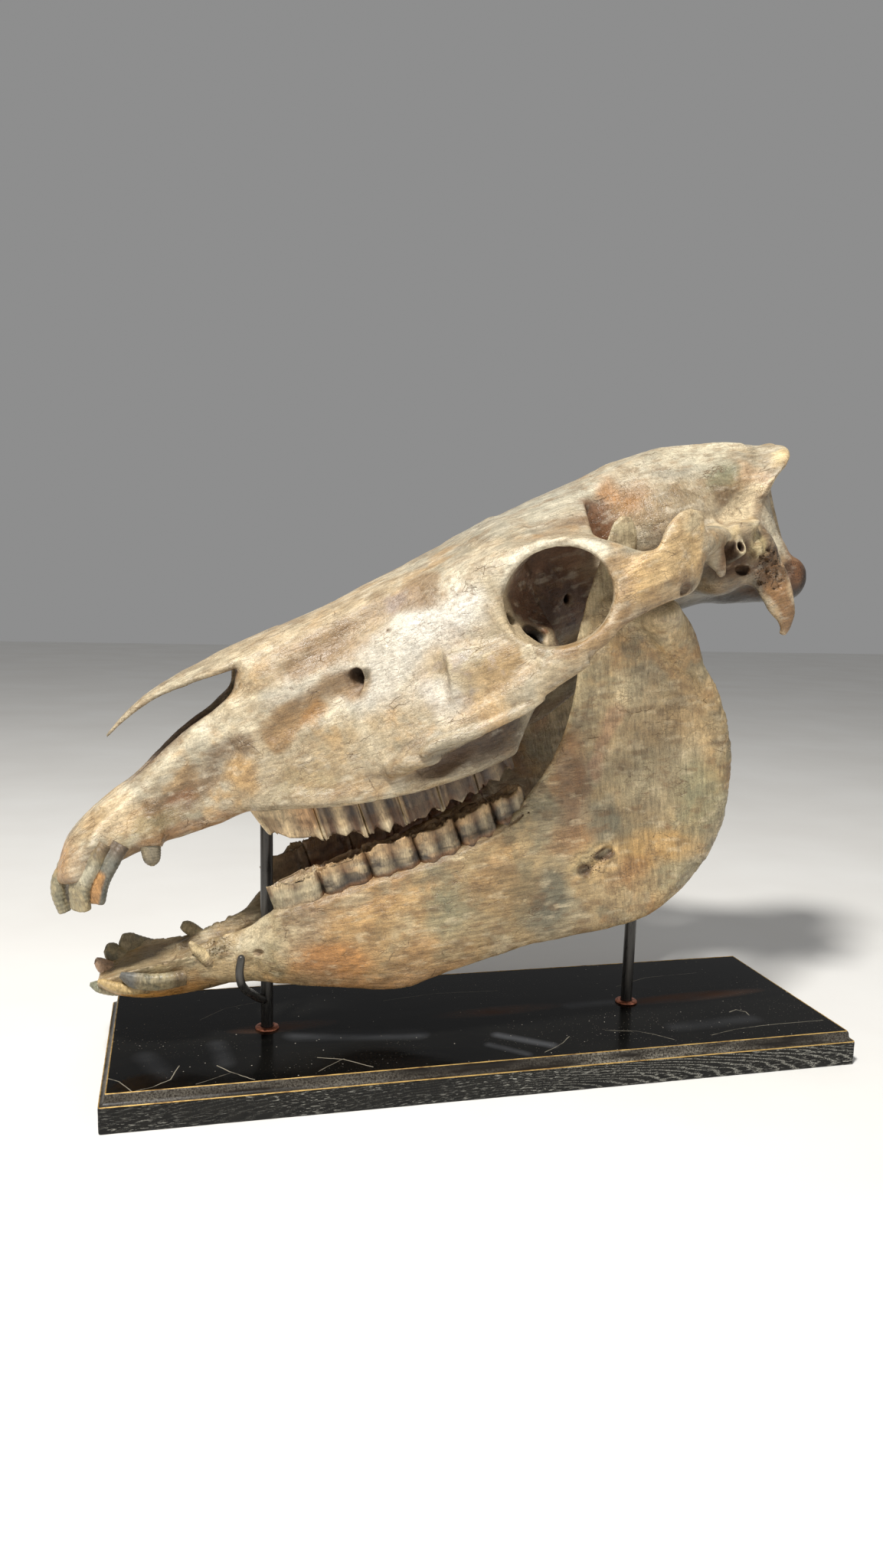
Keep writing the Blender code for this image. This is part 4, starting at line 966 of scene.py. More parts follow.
def cranium_field():
    low, high = (-14, -118, -64), (552, 118, 134)
    cavity, choana = nasal_cavity(), ellipsoid((318, 0, -4), (36, 16, 19), (0, -12, 0))
    foramen = ellipsoid((522, 0, 25), (38, 15, 14))
    sockets = [eye_socket(s) for s in (-1, 1)]
    crest, middle_crest = occipital_pieces()
    soft, crisp = temporal_pieces()

    whole = Field(low, high)
    whole.add(hull_of_lines(FACE, np.linspace(128, 330, 90)), 0)
    whole.cut([cavity, choana, *sockets], 1.5)
    nose = Field(low, (160, 118, 134))
    nose.add(hull_of_lines(SNOUT, np.linspace(-3, 150, 80)), 0).cut(cavity, 1.5)
    part = tuple(slice(0, n) for n in nose.d.shape)
    whole.d[part] = soft_min(whole.d[part], nose.d, 9.0)
    whole.add(hull_of_lines(BRAINCASE, np.linspace(270, 518, 90)), 6.0)
    whole.cut(both_sides([ellipsoid((358, -60, 82), (36, 22, 24), (0, -15, 0))]), 6.0)
    whole.add(middle_crest, 5.0)
    whole.add(both_sides([frontal_wing(), ellipsoid((304, -68, 82), (24, 15, 13), (0, -8, -20)),
                          bar([(255, -74, 32, 8, 16), (288, -83, 29, 7, 15), (310, -89, 26, 6, 10),
                               (334, -97, 29, 5, 6)])]), 7.0)
    whole.cut([choana], 2.0)
    whole.cut(sockets, 3.0)
    whole.add(both_sides(zygomatic_arch()), 5.0)
    whole.add(both_sides([orbit_rim()]), 6.0)
    whole.add(base_pieces(), 4.0)
    whole.add(nasal_roof(), 2.5)
    whole.add(both_sides(soft), 9.0)
    whole.add(both_sides(crest), 7.0)
    whole.add(both_sides(crisp), 3.0)
    whole.add(both_sides([upper_canine_root()]), 4.0)
    whole.cut(foramen, 2.0)
    whole.cut(sockets, 0.8)
    bite_collar = bar([(128, -30, -7, 4, 4), (150, -41.5, -12.5, 4, 4), (185, -52, -19.5, 4, 4),
                       (225, -55.5, -24.5, 4, 4), (255, -55, -25.5, 4, 4),
                       (283, -50.5, -24, 5, 4)], power=2.2)
    whole.add(both_sides([bite_collar]), 9.0)

    # the snout: its rim beside the open nose, the hollow below it, and the hollow palate
    whole.ridge([(24, -30, -2), (29, -25, 7), (44, -21, 13), (59, -19, 20), (77, -18.5, 29), (95, -20, 37),
                 (112, -24, 46)], 4.2, 1.8, 4)
    whole.groove([(124, -31, 30, 0.3), (104, -26, 20, 1), (86, -23, 13, 1), (66, -21, 5, 0.5)], 14, 4.2, 8)
    whole.groove([(60, -18, 14, 0.3), (44, -22, 6, 0.9), (30, -29, -4, 0.7), (22, -30, -9, 0.3)], 9, 1.6, 6)
    whole.cut(ellipsoid((92, 0, -17), (64, 15, 7)), 4)
    whole.cut(ellipsoid((40, 0, 22), (22, 1.3, 14), (0, -20, 0)), 1.5)
    # under the eye: the nerve's opening with its channel, the long hollow above it, and the crest
    whole.groove([(146, -39, 30, 0.2), (164, -44, 35, 0.8), (186, -50, 41, 1.1), (202, -53, 45.5, 1.25)],
                 10, 4.2, 5)
    whole.groove([(258, -57, 86, 0.2), (243, -52, 82, 1), (224, -46, 78, 1.2), (202, -44, 72, 1.2),
                  (181, -41, 67, 0.7), (165, -37, 62, 0.2)], 10, 3.4, 7)
    whole.cut(both_sides([bar([(192, -56, 42.5, 3, 5), (203, -52, 46, 4.4, 7), (212, -47, 49, 4, 6),
                               (226, -40, 51, 3, 5)])]), 1.5)
    whole.add(both_sides([ellipsoid((222, -71.5, -8.0), (15, 7.5, 4.2), (0, 12, -18))]), 2.5)
    whole.ridge([(224, -75, -6, 0.8), (232, -79, -1), (248, -83, 0), (267, -88, 2), (286, -92, 6),
                 (302, -95, 10, 0.5)], 3.2, 4.0, 2)
    whole.groove([(220, -65, -18, 0.4), (234, -67, -15, 1), (252, -70, -11, 1.2), (270, -75, -8, 1.2),
                  (292, -80, -3, 0.8)], 9, 4.0, 3)
    # the temple line over the braincase, and the scooped field in front of the crest at the back
    whole.ridge([(392, -26, 107, 0.4), (415, -20, 114, 1), (440, -12, 119, 1), (480, -7, 115, 1),
                 (512, -10, 107, 0.6)], 4.0, 1.1, 6)
    whole.groove([(512, -30, 95, 0.4), (500, -38, 86, 1), (488, -43, 76, 1.1), (474, -47, 69, 0.8),
                  (458, -50, 66, 0.3)], 11, 3.6, 6)
    whole.groove([(524, -38, 78, 0.3), (511, -46, 69, 1), (499, -53, 60, 1.1), (486, -58, 52, 0.8),
                  (474, -62, 49, 0.3)], 6, 3.2, 3)
    whole.cut(both_sides([ellipsoid((449, -66, 46), (4.6, 11, 10), (0, 10, 0)),
                          bar([(461, -72, 50, 2.2, 3.2), (460, -58, 48.5, 2.0, 3.0),
                               (459, -50, 47, 1.6, 2.4)], steps=8),
                          ellipsoid((466, -50, 33), (4.5, 6, 3), (0, 30, 0)),
                          ellipsoid((506, -44, 21), (5.0, 10, 8), (0, 10, 0)),
                          ellipsoid((484, -57, 27), (9, 4.5, 8), (0, -30, 0))]), 1.5)
    # broken bone in the floor of the eye socket, and small openings in its inner wall
    whole.cut([ellipsoid((315, -69, 41), (5.5, 9, 10), (0, -40, 0)),
               ellipsoid((320, -67, 43), (2.4, 5, 4), (0, 20, 0)),
               ellipsoid((312, -60, 33), (6, 9, 8)), ellipsoid((300, -72, 54), (6, 8, 4.5), (0, 30, 0)),
               ellipsoid((306, 62, 38), (5, 8, 7)), ellipsoid((352, -34, 50), (2.0, 8, 3.2), (0, 20, 0)),
               ellipsoid((352, 34, 50), (2.0, 8, 3.2), (0, 20, 0))], 0.8)
    # small marks: a pit under the forehead, the notch over a tooth, the crack above the incisors
    whole.cut([ellipsoid((232, -56, 69), (1.3, 4, 1.1)),
               cord([(11, -26, -15), (14, -30, -11), (17, -30.5, -7.5), (21, -32, -6),
                     (26, -32, -1.5)], 0.75),
               ellipsoid((399, -104, 41), (5, 3.0, 3.2), (0, 0, 0))], 0.6)

    gum = []
    for a in np.linspace(120, 283, 24):
        gum.append((a, -upper_outside(a), UPPER_GUM(a)[0, 0] + 0.4))
    whole.cut(both_sides([cord(gum, 0.9, 70, (0, 0, 1))]), 0.6)
    return whole


# ---- mandible: the main masses ----------------------------------------------------------------------------
HALF_JAW = [
    # station, lower edge (a, y, h), upper edge (a, y, h), thickness of the lower edge, middle, upper edge
    (0, 58, 10, -8, 60, 10, 14, 14, 16, 12),
    (1, 84, 15, -9, 84, 14, 21, 16, 16, 10),
    (2, 104, 22, -9, 106, 19, 26, 17, 17, 10),
    (3, 126, 31, -12, 122, 28, 36, 18, 21, 17),
    (4, 157, 38, -18, 155, 36, 44, 19, 24, 22),
    (5, 196, 43, -25, 190, 41, 51, 18, 25, 22),
    (6, 225, 45, -20, 221, 44, 56, 17, 25, 22),
    (7, 258, 46, -15, 250, 47, 65, 16, 23, 21),
    (8, 290, 47, -11, 275, 50, 75, 15, 19, 19),
    (9, 325, 48, -11, 292, 55, 92, 14, 13, 13),
    (10, 360, 50, -8, 308, 59, 113, 14, 9, 9),
    (11, 391, 52, 8, 318, 62, 132, 14, 7.5, 8),
    (12, 411, 55, 30, 323, 65, 149, 14, 7, 7.5),
    (13, 424, 59, 60, 327, 68, 170, 13, 6.5, 7),
    (14, 427, 64, 95, 333, 70, 190, 12, 6.5, 7),
    (15, 419, 70, 132, 341, 73, 203, 12, 7, 7),
    (16, 404, 76, 160, 351, 76, 206, 12, 7, 8),
    (17, 390, 80, 182, 364, 80, 198, 12, 9, 9),
]


def half_jaw():
    """The left half of the mandible, from the chin along the body and round the angle to the neck."""
    line = line_through(HALF_JAW)
    angle = np.linspace(0, 2 * math.pi, 72, endpoint=False)
    rings = []
    for station in np.linspace(0, 17, 140):
        row = line(station)[0]
        lower, upper, thick = row[:3] * (1, -1, 1), row[3:6] * (1, -1, 1), row[6:]
        square = np.interp(station, (3, 9, 11), (2.4, 3.6, 5.0))
        c, s = np.cos(angle), np.sin(angle)
        u = 0.5 - 0.5 * np.sign(c) * np.abs(c) ** (2 / square)
        width = np.interp(u, (0.0, 0.10, 0.35, 0.75, 0.92, 1.0),
                          (thick[0], thick[0], thick[1], thick[1], thick[2], thick[2]))
        off = 0.5 * width * np.sign(s) * np.abs(s) ** (2 / 2.4)
        ring = lower + np.outer(u, upper - lower)
        ring[:, 1] += off
        rings.append(ring)
    return loft(rings)


def symphysis():
    """The chin: the fused front of the jaw, hollowed on top like a spoon behind the incisors."""
    stations = line_through([
        # a, half width, edge height, floor of the hollow, underside
        (10, 17, 6.5, 6, 1), (16, 23, 10, 8, -3), (24, 27, 12.5, 9.5, -7), (38, 28, 15, 10, -11),
        (56, 25, 15.5, 9.5, -13.5), (72, 22, 15.5, 8.5, -14), (88, 20, 18, 8, -13.5), (98, 17, 17, 6, -8),
    ])
    rings = []
    for a in np.linspace(10, 98, 60):
        half, edge, floor, under = stations(a)[0]
        y = np.linspace(-1, 1, 25)
        upper = floor + (edge - floor) * np.abs(y) ** 3
        lower = under + (edge - under) * np.abs(y) ** 4
        ring = np.r_[np.c_[y * half, upper + 0.5], np.c_[y * half * 0.97, lower - 0.5][::-1]]
        rings.append(np.c_[np.full(len(ring), a), ring])
    return loft(rings)


def jaw_joint():
    coronoid = bar([(345, -69, 178, 3.2, 20), (350, -71, 205, 3.0, 16), (356, -73, 230, 2.8, 11.5),
                    (359.5, -74, 243, 2.8, 9.6), (361, -74, 250, 2.6, 7.6), (362, -74, 255, 1.8, 3.6)],
                   up=(1, 0, -0.3), steps=60)
    neck = bar([(398, -75, 162, 3, 7), (391, -78, 174, 5, 11), (382, -82, 186, 8, 12),
                (374, -84, 194, 11, 10)], up=(1, 0, 0.3), steps=30)
    condyle = ellipsoid((372, -84, 196), (11.5, 18, 7), (6, -12, 10))
    return coronoid, [neck, condyle]


def mandible_field():
    low, high = (-6, -116, -40), (440, 116, 268)
    whole = Field(low, high)
    left = half_jaw()
    whole.add([left, mirrored(left)], 3.0)
    whole.add(symphysis(), 5.0)
    coronoid, joint = jaw_joint()
    whole.add(both_sides([coronoid]), 5.0)
    whole.add(both_sides(joint), 9.0)
    # the cheek muscle's field on the upright part, its front ridge, and the rough rear border
    whole.ridge([(308, -66, 106, 0.3), (320, -70, 128, 1), (328, -73, 150, 1), (334, -76, 176, 0.5)],
                4, 1.0, 4)
    whole.ridge([(402, -62, 24, 0.3), (416, -66, 52, 1), (420, -70, 90, 1), (414, -76, 128, 1),
                 (400, -82, 156, 0.4)], 6, 1.4, 6)
    whole.ridge([(372, -60, 2, 0.4), (390, -63, 22, 1), (403, -66, 50, 1), (406, -70, 84, 0.4)], 6, 0.7, 6)
    row_collar = bar([(127, -29, 31.5, 8.0, 5.5), (157, -37, 39.2, 9.2, 5), (188, -41, 46.2, 9.2, 5),
                      (221, -44.2, 51.4, 9.2, 5), (250, -46, 59.5, 9.2, 5), (275, -48, 68.5, 9, 5),
                      (293, -49.5, 77, 7.5, 5)], power=3.2, steps=60)
    whole.add(both_sides([row_collar]), 6.0)
    # the nerve's opening at the chin
    whole.cut(both_sides([ellipsoid((110, -32, 12), (4.0, 3.6, 1.9), (0, 0, -16))]), 1.5)
    # the hole in the left angle: two lobes with a broken edge
    whole.cut([ellipsoid((337.5, -62, 43.5), (8.5, 8.0, 5.4), (0, -28, 0)),
               ellipsoid((324, -61, 34.5), (6.2, 7.5, 5.8), (0, -20, 0)),
               ellipsoid((330, -61, 38), (5, 6, 4), (0, -30, 0))], 0.8)
    # the torn sockets by the left canine and the outer incisor
    whole.cut([ellipsoid((84, -24, 19), (5, 5, 6)), ellipsoid((66, -27.5, 14.5), (11, 3.5, 3.2), (0, 8, 8)),
               ellipsoid((52, -29, 12), (12, 3.5, 2.2), (0, 6, 4)), ellipsoid((78, 22, 20), (4, 4, 4))], 1.0)

    gum = []
    for a in np.linspace(127, 290, 24):
        gum.append((a, -lower_outside(a), LOWER_GUM(a)[0, 0] - 0.2))
    whole.cut(both_sides([cord(gum, 0.9, 70, (0, 0, 1))]), 0.6)
    return whole


# ---- teeth ------------------------------------------------------------------------------------------------
UPPER_GUM = line_through([(118, -8), (138, -11.5), (151, -15), (182, -22), (225, -28), (283, -27)])
UPPER_BITE = line_through([(118, -24), (142, -34), (162, -38), (178, -44), (199, -46), (222, -45),
                           (246, -43), (284, -36)])
UPPER_ROW = line_through([(118, 20), (137, 28), (150, 34.5), (182, 43), (225, 47), (250, 47), (284, 43)])
LOWER_GUM = line_through([(124, 37), (158, 44), (188, 51), (221, 56), (244, 62), (270, 71), (292, 82)])
LOWER_BITE = line_through([(124, 52), (156, 60.5), (186, 69), (215, 74), (257, 85), (292, 95)])
LOWER_ROW = line_through([(124, 29), (157, 37), (221, 44), (292, 49)])
UPPER_WIDE, LOWER_WIDE = 11.0, 8.0
CROWN_ROWS = 34          # rings of points from a cheek tooth's root to its bite
BITE_RINGS = np.linspace(0.97, 0.10, 15)


def upper_outside(a):
    return UPPER_ROW(a)[0, 0] + UPPER_WIDE * np.interp(a, (118, 126, 142), (0.45, 0.75, 1.0)) + 0.4


def lower_outside(a):
    return LOWER_ROW(a)[0, 0] + LOWER_WIDE + 0.4


def tooth_outline(half, width, upper, number, count=120):
    """The crown's section: how far along and outwards its points lie, and how deep its folds are."""
    shape = superellipse(count, 6.5)
    u, v = shape[:, 0], shape[:, 1]
    cheek = smoothstep(0.2, 0.7, v)
    tongue = smoothstep(0.2, 0.7, -v)
    if upper:
        shift = 0.10 * math.sin(number * 2.3 + 1)
        bent = np.clip(u + shift * (1 - u * u), -1, 1)
        fold = (2.3 + 0.5 * math.sin(number * 4.1)) * np.abs(np.sin(math.pi * bent)) ** 0.7
        fold += 0.45 * np.cos(u * 17 + number * 1.9) * (np.abs(u) < 0.85)
        inner = 2.0 * np.exp(-(((u - 0.25) / 0.13) ** 2))
    else:
        fold = 3.6 * np.exp(-(((u - 0.1) / 0.17) ** 2)) + 3.0 * np.abs(u) ** 3.4
        fold += 0.3 * np.cos(u * 13 + number)
        inner = 2.2 * np.exp(-(((u + 0.1) / 0.14) ** 2)) + 1.4 * np.exp(-(((u - 0.6) / 0.1) ** 2))
    out = v * width - cheek * fold + tongue * inner
    if number == 0:
        out = out * np.interp(u, (-1, -0.6, 0.2), (0.40, 0.72, 1.0))
    if number == 5:
        out = out * np.interp(u, (0.2, 1), (1.0, 0.72))
    return u * half, out, fold * cheek + inner * tongue


def cheek_teeth(upper, side):
    """One side's row of cheek teeth, with the depth of its folds and its height above the gum."""
    starts = UPPER_TOOTH_STARTS if upper else LOWER_TOOTH_STARTS
    gum, bite, row = (UPPER_GUM, UPPER_BITE, UPPER_ROW) if upper else (LOWER_GUM, LOWER_BITE, LOWER_ROW)
    width, root = (UPPER_WIDE, 14.0) if upper else (LOWER_WIDE, -12.0)
    sign, lean = (-1.0, 0.0) if upper else (1.0, -0.22)
    teeth, folds, rises = [], [], []
    for number, (start, end) in enumerate(zip(starts, starts[1:])):
        middle, half = (start + end) / 2, (end - start) / 2 + 0.05
        along, out, fold = tooth_outline(half, width, upper, number)
        count = len(along)
        u = along / half
        slope = (bite(end)[0, 0] - bite(start)[0, 0]) / (end - start)
        splay = (row(end)[0, 0] - row(start)[0, 0]) / (end - start)
        deep, edge = gum(middle)[0, 0] + root, bite(middle)[0, 0]
        odd = number * 40.0 + side * 500 + upper * 900
        wobble = noise(np.c_[along, out, np.full(count, odd)], 4.0, 11, 3)
        outer = smoothstep(-0.1, 0.4, out / width)
        if upper:
            cusp = (1.5 * np.cos(2 * math.pi * np.abs(u)) - 0.9) * outer + 2.6 * wobble
            cusp += 1.6 * outer - 1.4 * smoothstep(0.0, -width, out)
        else:
            cusp = 1.0 * np.cos(2 * math.pi * (u - 0.12) / 1.1 + math.pi) * outer + 1.7 * wobble
            cusp += 1.2 * smoothstep(0.0, -width, out)
        recede = 7.0 * smoothstep(0.1, 1.0, -u) if upper and number == 0 else 0.0
        rings = []
        for share in np.linspace(0, 1, CROWN_ROWS):
            taper = 1 - 0.03 * share - 0.03 * max(0, share - 0.93) / 0.07
            swell = 0.35 * math.sin(share * 13 + number + side)
            if not upper:
                swell = 1.3 * math.sin(share * 11 + 0.8 * number) + 0.5 * math.sin(share * 29 + side)
            h = deep + (edge - deep) * share + sign * cusp * smoothstep(0.6, 1.0, share)
            flare = 1 + swell / width * 0.5
            a = middle + along * (1 + 0.004 * swell) + recede * max(0.0, (share - 0.4) / 0.6) ** 1.4
            rings.append(np.c_[a, out * taper * flare, h])
        for share in BITE_RINGS:
            flat_a, flat_y = along * share * 0.985, out * share * 0.94
            spot = np.c_[flat_a, flat_y, np.full(count, odd)]
            enamel = np.clip(1 - np.abs(noise(spot, (6.0, 4.5, 5.0), 5, 2)) * 4.0, -0.6, 1.0)
            rim = 0.9 if share > 0.9 else 0.0
            h = edge + sign * (cusp * share**2 - 1.3 + rim + 1.25 * enamel)
            rings.append(np.c_[middle + flat_a + recede * share, flat_y, h])
        block, faces = loft(rings)
        block[:, 2] += (block[:, 0] - middle) * slope
        block[:, 1] = -row(middle)[0, 0] - block[:, 1] - (block[:, 0] - middle) * splay
        line = gum(middle)[0, 0] + (block[:, 0] - middle) * slope
        twist = 0.03 * lattice_noise(np.array([[number * 3.1 + 0.5, side * 7.7, upper * 2.2]]), 3)[0]
        block[:, 1] += twist * (block[:, 2] - line)
        block[:, 0] += (lean + twist) * (block[:, 2] - line)
        teeth.append((block, faces))
        mark = np.r_[np.tile(fold, len(rings)), 0, 1]
        bite_part = slice(CROWN_ROWS * count, len(rings) * count)
        above = block[bite_part, 2] - edge - (block[bite_part, 0] - middle) * slope
        mark[bite_part] = np.clip(1.4 - 0.6 * sign * above, 0, 3)
        folds.append(mark)
        rises.append((block[:, 2] - line) * sign)
    points, faces = outward(*joined(teeth))
    return points, faces, np.concatenate(folds), np.concatenate(rises)


FRONT_BITE = [
    # a front tooth's worn end, from rim to middle: share of its size, height, and how dark it is
    (0.96, 0.5, 0.2), (0.86, 1.0, 0.8), (0.72, 0.8, 0.3), (0.58, 0.1, 0.9), (0.42, 0.0, 0.4),
    (0.30, -0.5, 1.4), (0.15, -1.2, 2.0),
]


def front_tooth(stations, wide, seed, steps=48, around=60, power=2.8, groove=0.5, bite=1.0):
    """A curved incisor or canine, root first; `wide` is the way its width lies."""
    rows = smooth_path(stations, steps)
    centre, size = rows[:, :3], rows[:, 3:5]
    along = np.gradient(centre, axis=0)
    along /= np.linalg.norm(along, axis=1)[:, None]
    across = np.array(wide, float) - along * (along @ np.array(wide, float))[:, None]
    across /= np.linalg.norm(across, axis=1)[:, None]
    rise = np.cross(along, across)
    shape = superellipse(around, power)
    angle = np.arctan2(shape[:, 1], shape[:, 0])
    dent = 1 - groove * 0.16 * np.exp(-(((np.abs(angle) - math.pi / 2) / 0.25) ** 2))
    rings, shares, marks = [], [], []
    for i, (c, s, w, r) in enumerate(zip(centre, size, across, rise)):
        ripple = 1 + 0.02 * math.sin(i * 1.7 + seed)
        rings.append(c + np.outer(shape[:, 0] * dent * s[0] * ripple, w)
                     + np.outer(shape[:, 1] * dent * s[1] * ripple, r))
        shares.append(np.full(around, i / (steps - 1)))
        marks.append((1 - dent) * 8)
    if bite < 1:
        for i in range(steps - 9, steps):
            close = math.sqrt(max(0.0, 1 - ((i - steps + 9) / 9.5) ** 2))
            rings[i] = centre[i] + (rings[i] - centre[i]) * (0.35 + 0.65 * close)
    tip, forward = rings[-1].copy(), along[-1]
    middle = tip.mean(0)
    chip = noise(tip + seed * 9.1, 4.0, seed, 3)
    for share, push, mark in FRONT_BITE:
        rings.append(middle + (tip - middle) * share + np.outer((push + 0.7 * chip * share) * bite, forward))
        shares.append(np.full(around, 1.0))
        marks.append(np.full(around, mark))
    points, faces = loft(rings)
    return points, faces, np.r_[np.concatenate(marks), 0, 2], np.r_[np.concatenate(shares), 0, 1]


# Each front tooth: rows of (a, y, h, half width, half thickness) from root to tip, and its width's way.
UPPER_FRONT = [
    ([(12, -9.6, -6, 9, 5), (-1, -10.4, -13, 9.8, 5.4), (-5.8, -10.8, -23, 10.0, 5.0),
      (-6.6, -10.6, -33, 9.2, 4.4)], (0.1, 1, 0)),
    ([(31, -26, 0, 5.5, 4.6), (21, -28, -8, 6.6, 5.0), (9, -26.5, -20, 7.2, 4.8),
      (4.0, -24.6, -33, 6.6, 4.2)], (0.8, -0.6, 0)),
    ([(40, -26, -4, 5.6, 4.2), (31, -28.6, -11, 6.0, 4.4), (20, -28.2, -22, 5.8, 4.2),
      (14.5, -26.5, -32, 5.2, 3.6)], (0.93, -0.36, 0)),
    ([(57, -21, -4, 5.5, 6), (55.5, -23, -12, 5.4, 6.2), (54, -24.2, -18, 4.9, 5.6),
      (52.8, -24.8, -22.5, 3.2, 3.8), (52.5, -25, -23.6, 1.6, 2.0)], (0, 1, 0)),
]
LOWER_FRONT_LEFT = [
    ([(34, -7, -3, 7, 4.6), (20, -8.2, -1, 7.4, 4.6), (11, -8.6, 1.6, 6.4, 3.6), (5, -8.4, 4.2, 2.6, 1.6)],
     (0, 1, 0)),
    ([(40, -17, -1, 7, 4.4), (27, -20, 2.0, 7.6, 4.2), (18, -20.6, 5.5, 6.8, 3.4),
      (11.5, -19.6, 9.5, 4.0, 2.0)], (0.6, -0.8, 0)),
    ([(64, -25.5, 3, 6, 3.8), (48, -28.4, 4.4, 6.6, 3.8), (35, -29, 8.0, 6.4, 3.4),
      (26, -27.5, 13.2, 3.2, 1.9)], (0.35, -0.55, 0.75)),
    ([(80, -19, 8, 4.4, 4.4), (75.5, -20.3, 15, 3.8, 3.8), (72, -21, 20, 3.0, 3.0),
      (70, -21.3, 24, 1.6, 1.8)], (0, 1, 0)),
]
LOWER_FRONT_RIGHT = [
    ([(34, 7, 0, 7, 4.6), (21, 8.2, 4, 7.6, 4.4), (13, 8.4, 8.5, 7.2, 3.8), (9, 7.8, 13.4, 5.6, 2.4)],
     (0.1, 1, 0)),
    ([(40, 17, 2, 7, 4.4), (28, 20, 7, 7.8, 4.2), (19.5, 20.4, 12, 7.4, 3.6), (15.5, 19, 17.2, 5.8, 2.4)],
     (0.6, 0.8, 0)),
    ([(58, 24, 5, 6.5, 4), (42, 27, 9, 7.4, 4), (31, 26.6, 14.5, 7.2, 3.6), (25, 24.6, 19.6, 5.6, 2.4)],
     (0.85, 0.5, 0)),
    ([(80, 19, 8, 5, 5), (74, 20.5, 15, 4.8, 4.8), (69, 22, 20, 4.4, 4.4), (65, 23, 22.4, 3.4, 3.6)],
     (0, 1, 0)),
]


def front_teeth(upper, side):
    """One side's incisors and canine, as one shape with its marks, shares and tooth numbers."""
    table = UPPER_FRONT if upper else (LOWER_FRONT_LEFT, LOWER_FRONT_RIGHT)[side]
    teeth, marks, shares, numbers = [], [], [], []
    for number, (rows, wide) in enumerate(table):
        rows, wide = np.array(rows, float), np.array(wide, float)
        if upper and side:
            rows[:, 1] *= -1
            wide = wide * (1, -1, 1)
        canine = number == 3
        points, faces, mark, share = front_tooth(
            rows, wide, 21 + number + 7 * side + 20 * upper, groove=0.1 if canine else 0.6,
            power=2.1 if canine else 2.6, bite=0.3 if canine or not upper else 1.0)
        teeth.append((points, faces))
        marks.append(mark)
        shares.append(share)
        numbers.append(np.full(len(points), number))
    return (*joined(teeth), np.concatenate(marks), np.concatenate(shares), np.concatenate(numbers))


def placed(name, data):
    """A new object in the scene."""
    made = bpy.data.objects.new(name, data)
    bpy.context.scene.collection.objects.link(made)
    return made


def mesh_object(name, shape, material, origin=(0, 0, 0), pitch=0.0, colours=None, values=None):
    """An object from a shape in its own frame, with the colours and values that its material reads."""
    points, faces = shape
    own = np.asarray(points, np.float32)
    c, d = math.cos(math.radians(pitch)), math.sin(math.radians(pitch))
    points = np.array(origin, np.float32) + own @ np.array(((c, 0, d), (0, 1, 0), (-d, 0, c)), np.float32)
    mesh = bpy.data.meshes.new(name)
    sides = faces.shape[1]
    mesh.vertices.add(len(points))
    mesh.vertices.foreach_set("co", (points * MM).ravel())
    mesh.loops.add(faces.size)
    mesh.loops.foreach_set("vertex_index", faces.astype(np.int32).ravel())
    mesh.polygons.add(len(faces))
    mesh.polygons.foreach_set("loop_start", np.arange(0, faces.size, sides, dtype=np.int32))
    mesh.update(calc_edges=True)
    mesh.validate()
    mesh.shade_smooth()
    if colours is not None:
        layer = mesh.color_attributes.new("tint", "FLOAT_COLOR", "POINT")
        layer.data.foreach_set("color", np.c_[colours, np.ones(len(points))].astype(np.float32).ravel())
    for key, value in (values or {}).items():
        mesh.attributes.new(key, "FLOAT", "POINT").data.foreach_set("value", value.astype(np.float32))
    if values:
        place = mesh.attributes.new("own_place", "FLOAT_VECTOR", "POINT")
        place.data.foreach_set("vector", own.ravel())
    mesh.materials.append(material)
    return placed(name, mesh)


# ---- painting the bones and teeth -------------------------------------------------------------------------
BROKEN_TEMPLE = (486, -52, 28)
SCARRED_CREST = (494, -42, 84)
TORN_SOCKET = (86, -22, 20)
JAW_HOLE = (331, -60, 39)


def exposure(field, points, quads, out):
    """How sheltered each point is, near and far, and how sharply it stands out."""
    first, grid = coarse_distances(points, quads)
    far = np.zeros(len(points))
    for r in (6.0, 12.0, 22.0, 36.0):
        far += np.clip(1 - sample(grid, first, COARSE_STEP, points + out * r, 60.0) / r, 0, 1.5) / 4
    near = np.zeros(len(points))
    for r in (1.8, 3.6):
        near += np.clip(1 - field.at(points + out * r) / r, 0, 1.5) / 2
    edge = np.clip(1 + field.at(points - out * 3.5) / 3.5, 0, 1)
    return far, near, edge


